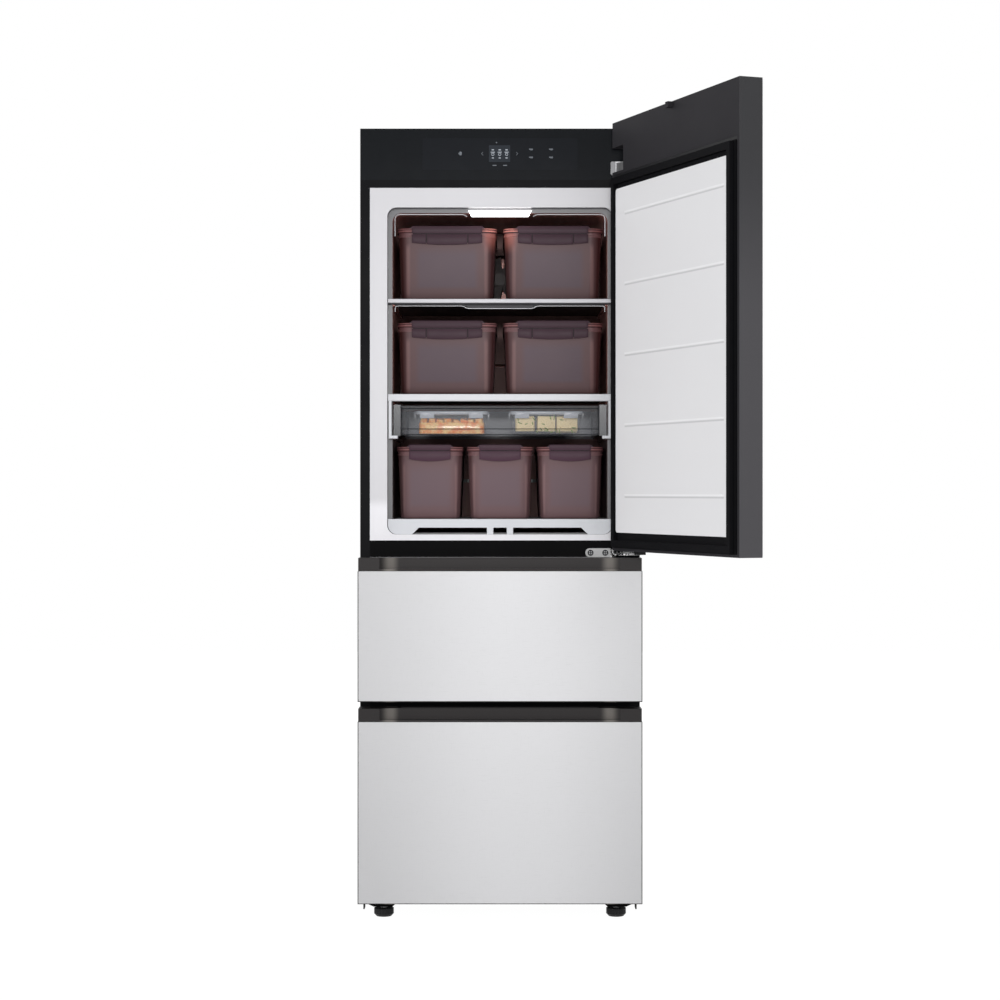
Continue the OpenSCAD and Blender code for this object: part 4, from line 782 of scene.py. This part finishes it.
class FRIDGE_OT_finishes(bpy.types.Operator):
    """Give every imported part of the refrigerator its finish"""

    bl_idname = "fridge.finishes"
    bl_label = "Cabinet finishes"

    def execute(self, context):
        """Pairs each CAD node with a material."""
        colours = context.scene.fridge_finishes
        black = painted_sheet("black_frame_paint", on_screen(10, 10, 11), 0.5, 0.03)
        linen = linen_enamel("linen_enamel", tuple(colours.panel), colours.weave)
        rail = brushed_metal("rail_steel", on_screen(186, 188, 190), (60, 4, 900), 0.32)
        white = moulded("white_liner_plastic", tuple(colours.liner), 0.36)
        rubber = rubber_finish("seal_rubber", on_screen(15, 15, 17))
        strip = strip_finish("grip_strip_steel", on_screen(41, 39, 39), on_screen(106, 102, 98))
        bin_clear = see_through("bin_plastic", on_screen(214, 220, 226), 0.55)
        foot, roller = on_screen(26, 26, 28), on_screen(44, 44, 46)
        pairs = {
            "outer_wrap": painted_sheet("cabinet_paint", tuple(colours.body)),
            "back_cover": pressed_zinc("zinc_sheet", on_screen(176, 178, 182)),
            "machine_cover": painted_sheet("machine_cover_paint", on_screen(74, 75, 78), 0.5, 0.3),
            "base_frame": black,
            "insulation": foam_finish("foam"),
            "upper_liner": liner_finish("upper_liner_finish", tuple(colours.liner),
                                        on_screen(196, 140, 132)),
            "drawer_liners": white,
            "crossbars": black,
            "control_housing": glossy_panel("fascia_gloss", on_screen(26, 28, 31)),
            "control_glass": glossy_panel("touch_glass_finish", on_screen(29, 31, 35), 0.02),
            "upper_hinge": hinge_finish("upper_hinge_nickel", on_screen(146, 146, 148),
                                        on_screen(96, 96, 98)),
            "lower_hinge": arm_finish("hinge_nickel", on_screen(150, 150, 150)),
            "hinge_screws": screw_finish("screw_steel"),
            "lamp_lens": lamp_finish("lamp_glow", context.scene.fridge_contents.lamp),
            "upper_shelf": shelf_finish("upper_shelf_finish", on_screen(192, 191, 195),
                                        on_screen(80, 79, 82), GUIDE_TOP, 0.1),
            "lower_shelf": shelf_finish("lower_shelf_finish", on_screen(226, 227, 231),
                                        on_screen(70, 70, 72), 0),
            "base_tray": moulded("base_tray_plastic", on_screen(212, 214, 219), 0.34),
            "duct_panel": brushed_metal("duct_steel", on_screen(112, 76, 72), (40, 40, 900),
                                        0.5, 0.15),
            "evaporator": brushed_metal("fin_aluminium", on_screen(190, 192, 194), (900, 20, 20)),
            "evaporator_fan": moulded("fan_blades_plastic", on_screen(150, 142, 142), 0.45),
            "compressor": painted_sheet("compressor_paint", on_screen(34, 34, 36), 0.38, 0.4),
            "cabinet_rails": rail, "middle_rails": rail, "lower_rails": rail,
            "middle_slides": rail, "lower_slides": rail,
            "door_panel": linen, "middle_panel": linen, "lower_panel": linen,
            # The free end's two lighter colours are painted light on the door frame.
            "door_frame": door_frame_finish("door_frame_plastic", on_screen(48, 47, 50),
                                            on_screen(84, 83, 86), on_screen(66, 66, 68)),
            "middle_frame": strip, "lower_frame": strip,
            "door_liner": door_liner_finish("door_liner_plastic", on_screen(232, 232, 234),
                                            on_screen(22, 22, 24)),
            "middle_inner": white, "lower_inner": white,
            "door_gasket": rubber, "middle_gasket": rubber, "lower_gasket": rubber,
            "door_hinge_plate": patterned_plate("door_plate_finish"),
            "middle_bin": bin_clear, "lower_bin": bin_clear,
            "left_foot": moulded("foot_left_plastic", foot, 0.5, 300, 0.2),
            "right_foot": moulded("foot_right_plastic", foot, 0.5, 300, 0.2),
            "left_roller": moulded("roller_plastic", roller, 0.5),
            "right_roller": moulded("roller_right_plastic", roller, 0.5),
            "sliding_tray": tray_finish("smoked_tray", on_screen(174, 178, 188),
                                        on_screen(48, 49, 54)),
        }
        for node, material in pairs.items():
            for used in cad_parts[node].material_slots:
                used.material = material
        return {"FINISHED"}


class FRIDGE_OT_containers(bpy.types.Operator):
    """Mould the seven kimchi containers"""

    bl_idname = "fridge.containers"
    bl_label = "Containers"

    wall: length_choice("Wall", "Thickness of a container's wall", 0.0025)
    rounding: length_choice("Corner", "Radius of the upright corners", 0.026)

    def execute(self, context):
        """Builds each container in the box of its CAD node."""
        finish = container_finish("container_smoke",
                                  tuple(context.scene.fridge_finishes.container))
        for place in PLACES:
            self.mould(place, finish)
        return {"FINISHED"}

    def mould(self, place, finish):
        """A tapered tub with a rounded base and a rim band under the lid."""
        node = place + "_box"
        low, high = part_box(node)
        inset = Vector((1.3 * MM, 1.3 * MM, 0))
        bm = bmesh.new()
        tapered_tub(bm, low + inset, high - inset, 6.5 * MM, self.rounding, 10, 7 * MM, 6,
                    self.wall)
        band_top = high.z - 12.5 * MM
        rounded_band(bm, (low.x, low.y, band_top - 3 * MM), (high.x, high.y, band_top),
                     self.rounding, 2.2 * MM, 0.7 * MM)
        map_faces(bm, low, high)
        piece(place + "_container_tub", bm, finish, place + "_container",
              (node,), recalc=False)


class FRIDGE_OT_lids(bpy.types.Operator):
    """Mould the seven lids with their wings"""

    bl_idname = "fridge.lids"
    bl_label = "Container lids"

    gap: length_choice("Slot", "Width of the slots that part a wing", 0.0019)

    def execute(self, context):
        """Builds each lid in the box of its CAD node."""
        wing = tuple(context.scene.fridge_finishes.lid)
        finish = lid_finish("lid_plum", on_screen(136, 92, 92), wing)
        for place in PLACES:
            self.mould(place, finish)
        return {"FINISHED"}

    def mould(self, place, finish):
        """A plate with skirt, a raised middle and a hinged wing at the front."""
        node = place + "_lid"
        low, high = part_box(node)
        centre = (low + high) / 2
        front, body_front = low.y, low.y + 3 * MM
        corner, skirt = 28 * MM, 11 * MM
        plate_top = high.z - 6 * MM
        wide = high.x - low.x > 0.2
        wing_half = (84 if wide else 49.5) * MM
        bm = bmesh.new()

        rounded_block(bm, (low.x, body_front, plate_top - 4 * MM), (high.x, high.y, plate_top),
                      corner, 10, 1.2 * MM, 3)
        inset = 0.2 * MM
        rounded_band(bm, (low.x + inset, body_front + inset, plate_top - skirt),
                     (high.x - inset, high.y - inset, plate_top - 1.6 * MM),
                     corner, 2.2 * MM, 0.6 * MM)
        self.raised_middle(bm, centre, wing_half + 7 * MM, body_front, plate_top, high)
        self.wing(bm, centre.x, wing_half, wide, front, body_front, high.z)

        bmesh.ops.recalc_face_normals(bm, faces=bm.faces[:])
        layer = bm.loops.layers.uv.new("face")
        for face in bm.faces:
            middle = face.calc_center_median()
            low_part = middle.z < plate_top + 0.4 * MM and middle.y > body_front - 0.1 * MM
            # Faces behind the wing's slots get -1, where the finish paints them dark as shade.
            backed = abs(middle.y - front - 1.4 * MM) < 0.1 * MM and abs(face.normal.y) > 0.9
            for loop in face.loops:
                at = loop.vert.co
                rise_up = (at.z - plate_top + skirt) / skirt * 0.4
                share = rise_up if low_part else -1.0 if backed else 1.0
                loop[layer].uv = ((at.x - centre.x) / ((high.x - low.x) / 2), share)
        piece(place + "_lid_cover", bm, finish, place + "_cover", (node,),
              recalc=False)

    def raised_middle(self, bm, centre, half, front, base, high):
        """The raised middle of the plate, its sides and rear sloping in."""
        slope = 7 * MM
        verts = box_of_edges(bm, (centre.x - half, front, base - 1 * MM),
                             (centre.x + half, high.y - 9 * MM, high.z))
        for v in verts:
            if v.co.z > base:
                v.co.x -= math.copysign(slope, v.co.x - centre.x)
                if v.co.y > centre.y:
                    v.co.y -= slope
        tops = [e for e in edges_of(verts) if all(v.co.z > base for v in e.verts)]
        soften(bm, tops, 2.2 * MM, 4)

    def wing(self, bm, middle, half, wide, front, back, head):
        """A strip over the hinge line, plates under it with slots between, and their backing."""
        hinge = head - (19 if wide else 15) * MM
        foot = head - (45 if wide else 40) * MM
        sag, slot = 5 * MM, self.gap / 2
        self.wing_plate(bm, middle, -half, half, front + 0.3 * MM, back, hinge + slot,
                        head - 0.6 * MM, 0, half)
        stops = [-half, -49.5 * MM, 49.5 * MM, half] if wide else [-half, half]
        for left, right in zip(stops, stops[1:]):
            self.wing_plate(bm, middle, left + (slot if left > -half else 0),
                            right - (slot if right < half else 0),
                            front, back, foot, hinge - slot, sag, half)
        reach = half - 3 * MM
        backing = box_of_edges(bm, (middle - reach, front + 1.4 * MM, foot + sag),
                               (middle + reach, back, head - 3 * MM))
        soften(bm, along(edges_of(backing), 1), 1 * MM, 2)

    def wing_plate(self, bm, middle, left, right, front, back, foot, head, sag, half):
        """One plate of a wing, its lower edge on the wing's shallow arc."""
        before = set(bm.verts)
        verts = box_of_edges(bm, (middle + left, front, foot), (middle + right, back, head))
        steps = max(2, int((right - left) / (6 * MM)))
        bmesh.ops.subdivide_edges(bm, edges=along(edges_of(verts), 0), cuts=steps,
                                  use_grid_fill=True)
        own = added(bm, before)
        for v in own:
            if sag and lie_at([v], 2, foot):
                v.co.z += sag * ((v.co.x - middle) / half) ** 2
        rim = [e for e in edges_of(own) if lie_at(e.verts, 1, front) and len(e.link_faces) == 2
               and abs(e.link_faces[0].normal.dot(e.link_faces[1].normal)) < 0.5]
        soften(bm, rim, 0.5 * MM, 2)


class FRIDGE_OT_food_boxes(bpy.types.Operator):
    """Set two clear food boxes in the sliding tray"""

    bl_idname = "fridge.food_boxes"
    bl_label = "Food boxes"

    def execute(self, context):
        """Two boxes with clipped lids, one with diced radish and one with bean curd."""
        contents = context.scene.fridge_contents
        self.draw = random.Random(contents.seed)
        clear = see_through("clear_box", on_screen(226, 228, 230), 0.05, 0.06)
        top = see_through("clear_box_lid", on_screen(212, 216, 224), 0.5, 0.10)
        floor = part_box("sliding_tray")[0].z + 3.6 * MM
        for name, x in FOOD_BOXES.items():
            self.box(name, x, floor, clear, top)
        self.radish(FOOD_BOXES["kimchi_food_box"], floor + 1.6 * MM, contents.diced)
        self.curd(FOOD_BOXES["tofu_food_box"], floor + 1.6 * MM)
        return {"FINISHED"}

    def box(self, name, x, z, clear, top):
        """A tapered clear tub under a shallow lid with two clips in front and one a side."""
        y, width, depth, lid = FOOD_BOX_DEEP, 84 * MM, 52 * MM, z + 50 * MM
        bm = bmesh.new()
        tapered_tub(bm, (x - width, y - depth, z), (x + width, y + depth, lid),
                    4 * MM, 12 * MM, 6, 3 * MM, 3, 1.3 * MM)
        piece(name, bm, clear, "tray", recalc=False)
        bm = bmesh.new()
        rounded_block(bm, (x - width - 3 * MM, y - depth - 3 * MM, lid - 3 * MM),
                      (x + width + 3 * MM, y + depth + 3 * MM, lid + 5 * MM), 14 * MM, 6,
                      1.2 * MM)
        foot, head = lid - 12 * MM, lid + 3 * MM
        for side in (-1, 1):
            clip = x + side * (width - 26 * MM)
            rounded_block(bm, (clip - 17 * MM, y - depth - 5 * MM, foot),
                          (clip + 17 * MM, y - depth - 2.4 * MM, head), 1.5 * MM, 2,
                          0.8 * MM, axis=1)
            flank = x + side * (width + 4.2 * MM)
            rounded_block(bm, (flank - 1.2 * MM, y - 20 * MM, foot),
                          (flank + 1.2 * MM, y + 20 * MM, head), 1 * MM, 2, axis=0)
        piece(name + "_lid", bm, top, "tray")

    def stray(self, low, high):
        """The next drawn length between two, in millimetres."""
        return self.draw.uniform(low, high) * MM

    def scatter(self, bm, place, size, tilt, rim):
        """One soft-edged dice of food, turned a little."""
        before = set(bm.verts)
        turn = Matrix.Identity(4)
        for axis in "ZXY":
            turn = turn @ Matrix.Rotation(self.draw.uniform(-tilt, tilt), 4, axis)
        scale = Matrix.Diagonal((*[s * self.draw.uniform(0.85, 1.1) for s in size], 1))
        bmesh.ops.create_cube(bm, size=1, matrix=Matrix.Translation(place) @ turn @ scale)
        soften(bm, edges_of(added(bm, before)), rim, 2)

    def radish(self, x, z, count):
        """A bed of brine and leaves, and dice of radish in layers on it."""
        bm = bmesh.new()
        rounded_block(bm, (x - 78 * MM, FOOD_BOX_DEEP - 46 * MM, z),
                      (x + 78 * MM, FOOD_BOX_DEEP + 46 * MM, z + 27 * MM), 10 * MM, 5, 2 * MM)
        columns, rows = 8, 4
        for i in range(count):
            column, row, layer = i % columns, (i // columns) % rows, i // (columns * rows)
            place = (x + (column - (columns - 1) / 2) * 18.6 * MM + self.stray(-2, 2),
                     51 * MM + row * 21 * MM + self.stray(-1.5, 1.5),
                     z + (18 + 11.5 * layer) * MM + self.stray(-1.5, 1.5))
            self.scatter(bm, place, (17 * MM, 15 * MM, 13 * MM), 0.35, 1.2 * MM)
        piece("diced_radish", bm, kimchi_finish("radish_in_brine"), "tray")

    def curd(self, x, z):
        """Slabs of bean curd side by side with herbs in front of and on them."""
        bm = bmesh.new()
        for i in range(3):
            for j in range(2):
                place = (x + (i - 1) * 50 * MM, 64 * MM + j * 44 * MM, z + 24 * MM)
                self.scatter(bm, place, (46 * MM, 38 * MM, 38 * MM), 0.02, 2 * MM)
        piece("bean_curd", bm, tofu_finish("bean_curd_finish"), "tray")
        bm = bmesh.new()
        leaves, in_front = 26, 18
        for i in range(leaves):
            at_front = i < in_front
            across = x + self.stray(-72, 72)
            deep = 40.6 * MM if at_front else self.stray(50, 110)
            up = z + 44 * MM
            if at_front:
                up = z + (self.stray(4, 16) if i % 2 else self.stray(20, 40))
            self.sprig(bm, Vector((across, deep, up)), at_front)
        piece("herb_leaves", bm, leaf_finish("herb_green", on_screen(120, 146, 52)),
              "tray")

    def sprig(self, bm, at, upright):
        """A narrow flat leaf, standing or lying."""
        length = self.stray(7, 13)
        turn = Matrix.Rotation(self.draw.uniform(0, math.pi), 4, "Y" if upright else "Z")
        lean = Matrix.Rotation(math.pi / 2 if upright else 0, 4, "X")
        place = Matrix.Translation(at) @ turn @ lean @ Matrix.Diagonal((length, 2.6 * MM, 1, 1))
        before = set(bm.verts)
        bmesh.ops.create_circle(bm, cap_ends=True, segments=8, radius=0.5, matrix=place)
        faces = list({f for v in added(bm, before) for f in v.link_faces})
        bmesh.ops.solidify(bm, geom=faces, thickness=0.4 * MM)


class FRIDGE_OT_control_marks(bpy.types.Operator):
    """Set plain marks on the touch glass"""

    bl_idname = "fridge.control_marks"
    bl_label = "Control marks"

    def execute(self, context):
        """Arrows, a display with three signs, and short bars round them."""
        lit = mark_finish("lit_marks", on_screen(146, 152, 160), 0.42)
        dim = mark_finish("dim_marks", on_screen(86, 92, 100), 0.16)
        plate = glossy_panel("display_plate", on_screen(50, 54, 60))
        bm = bmesh.new()
        left, foot = self.on_glass(489, 162)
        right, head = self.on_glass(510.3, 145.2)
        rounded_block(bm, (left, -0.5 * MM, foot), (right, -0.05 * MM, head), 1.5 * MM, 3,
                      0.2 * MM, 1, axis=1)
        piece("display_window", bm, plate, "cabinet")

        bm = bmesh.new()
        self.bar(bm, 460.5, 153.5, 2.4, 3.6)
        self.bar(bm, 459.0, 153.5, 1.1, 1.4)
        self.arrow(bm, 482.3, 153.7, -1)
        self.arrow(bm, 517.0, 153.7, 1)
        for column in (531, 551):
            for row in (149.2, 157.2):
                self.bar(bm, column, row, 4.0, 1.0)
                self.bar(bm, column + 0.4, row + 0.9, 2.4, 0.4)
        for column in (494.5, 505.0):
            self.bar(bm, column, 165.4, 4.0, 0.9)
        self.bar(bm, 496.5, 142.6, 1.3, 1.3)
        piece("touch_marks", bm, dim, "cabinet")

        bm = bmesh.new()
        for column in (492.8, 499.7, 506.6):
            self.bar(bm, column, 149.9, 2.4, 1.0)
            self.bar(bm, column, 152.2, 4.2, 0.7)
            self.ring(bm, column, 154.4, 1.45)
            self.bar(bm, column, 158.0, 2.2, 0.9)
        piece("display_signs", bm, lit, "cabinet")
        return {"FINISHED"}

    def on_glass(self, column, row):
        """The X and Z on the front plane that the camera sees at a pixel."""
        studio = bpy.context.scene.fridge_studio
        scale = studio.distance / (studio.lens / 36 * 1000)
        return (column - 500) * scale, studio.height + (HORIZON_ROW - row) * scale

    def bar(self, bm, column, row, width, height):
        """A small upright block, sized in pixels, standing a hair off the glass."""
        x, z = self.on_glass(column, row)
        across, up = width * PIXEL / 2, height * PIXEL / 2
        rounded_block(bm, (x - across, -0.9 * MM, z - up), (x + across, -0.05 * MM, z + up),
                      min(width, height) * PIXEL * 0.3, 2, axis=1)

    def ring(self, bm, column, row, radius):
        """A thin ring on the glass."""
        x, z = self.on_glass(column, row)
        before = set(bm.verts)
        segments = 20
        place = Matrix.Translation((x, -0.9 * MM, z)) @ Matrix.Rotation(math.pi / 2, 4, "X")
        bmesh.ops.create_circle(bm, segments=segments, radius=radius * PIXEL, matrix=place)
        bmesh.ops.extrude_edge_only(bm, edges=edges_of(added(bm, before)))
        inner = added(bm, before)[segments:]
        bmesh.ops.scale(bm, vec=(0.7, 1, 0.7), space=Matrix.Translation((-x, 0, -z)), verts=inner)
        faces = list({f for v in inner for f in v.link_faces})
        bmesh.ops.recalc_face_normals(bm, faces=faces)
        bmesh.ops.solidify(bm, geom=faces, thickness=0.5 * MM)

    def arrow(self, bm, column, row, side):
        """A chevron of two short strokes."""
        x, z = self.on_glass(column, row)
        stroke = Matrix.Diagonal((5.2 * MM, 0.8 * MM, 0.9 * MM, 1))
        for turn in (-1, 1):
            place = Matrix.Translation((x, -0.45 * MM, z + turn * 1.9 * MM))
            lean = Matrix.Rotation(math.radians(side * turn * 45), 4, "Y")
            bmesh.ops.create_cube(bm, size=1, matrix=place @ lean @ stroke)


class FRIDGE_OT_trims(bpy.types.Operator):
    """Lay the bright trims of the upper room, the tray's beads and the nuts of the feet"""

    bl_idname = "fridge.trims"
    bl_label = "Trims"

    def execute(self, context):
        """Two trims in the upper room, the beads on the tray's front and two foot nuts."""
        bright = brushed_metal("bright_trim", on_screen(214, 214, 218), (300, 300, 300), 0.4, 0.2)
        dark = moulded("tray_bead_smoke", on_screen(22, 24, 28), 0.4, gloss=0.1)
        nut = brushed_metal("nut_steel", on_screen(150, 150, 152), (300, 300, 300), 0.4, 0.6)
        self.ceiling_trim(bright)
        self.guide_trim(bright)
        self.tray_beads(dark)
        for side in ("left", "right"):
            self.foot_nut(side, nut)
        return {"FINISHED"}

    def ceiling_trim(self, bright):
        """A step round the ceiling, down both walls and in to the lamp."""
        top, side, y = 1671.8 * MM, 250 * MM, 31.4 * MM
        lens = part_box("lamp_lens")[1].x + 4 * MM
        runs = []
        for s in (-1, 1):
            runs.append(eased([(s * side, y, top - 52 * MM), (s * side, y, top),
                               (s * (lens + 8 * MM), y, top),
                               (s * lens, y - 1.5 * MM, top - 5 * MM)], 13 * MM))
        wire_piece("ceiling_step_trim", runs, 0.9 * MM, bright, "cabinet")

    def guide_trim(self, bright):
        """A line under the shelf, lower at its middle, with both ends turned down."""
        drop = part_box("upper_shelf")[0].z
        low, side, y = drop + 6 * MM, 249.5 * MM, 30.2 * MM
        run = eased([(-side, y, low - 14 * MM), (-side, y, low), (-88 * MM, y, low),
                     (-78 * MM, y, drop), (78 * MM, y, drop), (88 * MM, y, low),
                     (side, y, low), (side, y, low - 14 * MM)], 9 * MM)
        wire_piece("shelf_guide_trim", [run], 0.8 * MM, bright, "cabinet")

    def tray_beads(self, dark):
        """An outline of the tray's front, with a line across it and one at its lip."""
        low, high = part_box("sliding_tray")
        x, y = 233.5 * MM, low.y + 2.0 * MM
        base, lip = low.z + 3 * MM, high.z - 9 * MM
        outline = eased([(-x, y, lip), (-x, y, base), (x, y, base), (x, y, lip)], 7 * MM)
        lines = [[(-x, y, z), (x, y, z)] for z in (base + 13 * MM, lip)]
        wire_piece("tray_front_beads", [outline, *lines], 0.9 * MM, dark, "tray")

    def foot_nut(self, side, nut):
        """A six-sided nut round the stem of a foot."""
        low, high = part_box(side + "_foot")
        radius = 8.5 * MM
        place = Matrix.Translation(((low.x + high.x) / 2, (low.y + high.y) / 2, 22 * MM))
        bm = bmesh.new()
        bmesh.ops.create_cone(bm, cap_ends=True, segments=6, radius1=radius, radius2=radius,
                              depth=5.4 * MM, matrix=place)
        soften(bm, bm.edges[:], 0.5 * MM, 2)
        piece(side + "_foot_nut", bm, nut, "foot_" + side)


class FRIDGE_OT_stage(bpy.types.Operator):
    """Set the floor, the lights and the camera"""

    bl_idname = "fridge.stage"
    bl_label = "Studio"

    def execute(self, context):
        """A white studio seen from the photograph's place."""
        studio = context.scene.fridge_studio
        self.floor()
        self.lights(studio)
        self.room(studio)
        self.camera(studio)
        context.scene.view_settings.view_transform = "Standard"
        return {"FINISHED"}

    def seen_directly(self, f):
        """1 for camera, glossy and transmitted rays."""
        rays = f.node("ShaderNodeLightPath").socket.node.outputs
        camera, glossy, passed = [Wire(f, rays[f"Is {kind} Ray"])
                                  for kind in ("Camera", "Glossy", "Transmission")]
        return camera.most(glossy).most(passed)

    def floor(self):
        """A white floor that keeps a faint shadow."""
        bm = bmesh.new()
        bmesh.ops.create_grid(bm, x_segments=8, y_segments=8, size=9)
        mesh = bpy.data.meshes.new("studio_floor")
        bm.to_mesh(mesh)
        bm.free()
        f = Finish("studio_white")
        matt = f.node("ShaderNodeBsdfDiffuse", None, {"Color": (0.8, 0.8, 0.8, 1)})
        glow = f.node("ShaderNodeEmission", None, {"Color": (1, 1, 1, 1), "Strength": 1.1})
        x, y, _ = f.axes()
        away = (x * x + y * y).step(1.5, 9.0)
        share = self.seen_directly(f) * (away * 0.1 + 0.9)
        mesh.materials.append(f.close(f.blend(share, matt, glow)))
        in_scene("studio_floor", mesh)

    def lights(self, studio):
        """Four softboxes: in front, at both sides, and one on the open door."""
        boxes = (("front_softbox", (0, -5.8, 1.8), (0, 0, 1.0), (1.4, 0.5), 1),
                 ("left_softbox", (-2.8, -4.4, 1.6), (0, 0, 1.0), (1.2, 2.6), 0.35),
                 ("right_softbox", (2.8, -4.4, 1.6), (0, 0, 1.0), (1.2, 2.6), 0.35),
                 ("door_softbox", (-3.4, -0.5, 1.5), (0.4, -0.4, 1.3), (1.4, 2.2), 0.44))
        for name, place, target, size, share in boxes:
            lamp = bpy.data.lights.new(name, "AREA")
            lamp.shape = "RECTANGLE"
            lamp.size, lamp.size_y = size
            lamp.energy = studio.key * share
            aim = Vector(target) - Vector(place)
            shown = in_scene(name, lamp)
            shown.location = place
            shown.rotation_euler = aim.to_track_quat("-Z", "Y").to_euler()

    def room(self, studio):
        """An even white room, brighter where the camera looks straight at it."""
        f = Finish("white_room", "worlds")
        bpy.context.scene.world = f.owner
        share = self.seen_directly(f)
        even, white = [f.node("ShaderNodeBackground", None,
                              {"Color": (1, 1, 1, 1), "Strength": strength})
                       for strength in (studio.fill, 1.0)]
        f.close(f.blend(share, even, white), "ShaderNodeOutputWorld")

    def camera(self, studio):
        """A level camera on the cabinet's middle."""
        lens = bpy.data.cameras.new("photo_camera")
        lens.sensor_width = 36
        lens.lens = studio.lens
        lens.shift_y = -0.0088
        shown = in_scene("photo_camera", lens)
        shown.location = (0, -studio.distance, studio.height)
        shown.rotation_euler = (math.pi / 2, 0, 0)
        bpy.context.scene.camera = shown


class FRIDGE_PT_panel(bpy.types.Panel):
    """Everything that builds the refrigerator's looks"""

    bl_label = "Kimchi refrigerator"
    bl_space_type = "VIEW_3D"
    bl_region_type = "UI"
    bl_category = "Fridge"

    def draw(self, context):
        """Lists the properties and then the operators."""
        for group in ("fridge_finishes", "fridge_contents", "fridge_studio"):
            owner = getattr(context.scene, group)
            for name in owner.__annotations__:
                self.layout.prop(owner, name)
        for operator in OPERATORS:
            self.layout.operator(operator.bl_idname)


OPERATORS = (FRIDGE_OT_stage, FRIDGE_OT_finishes, FRIDGE_OT_containers, FRIDGE_OT_lids,
             FRIDGE_OT_food_boxes, FRIDGE_OT_control_marks, FRIDGE_OT_trims)
GROUPS = {"fridge_finishes": FridgeFinishes, "fridge_contents": FridgeContents,
          "fridge_studio": FridgeStudio}


def register():
    """Registers the property groups, the operators and the panel."""
    for name, group in GROUPS.items():
        bpy.utils.register_class(group)
        setattr(bpy.types.Scene, name, PointerProperty(type=group))
    for operator in OPERATORS:
        bpy.utils.register_class(operator)
    bpy.utils.register_class(FRIDGE_PT_panel)


def unregister():
    """Takes them all out again."""
    bpy.utils.unregister_class(FRIDGE_PT_panel)
    for operator in reversed(OPERATORS):
        bpy.utils.unregister_class(operator)
    for name, group in GROUPS.items():
        delattr(bpy.types.Scene, name)
        bpy.utils.unregister_class(group)


def main():
    """Builds the looks in order."""
    register()
    for operator in OPERATORS:
        family, name = operator.bl_idname.split(".")
        getattr(getattr(bpy.ops, family), name)()


if __name__ == "__main__":
    main()
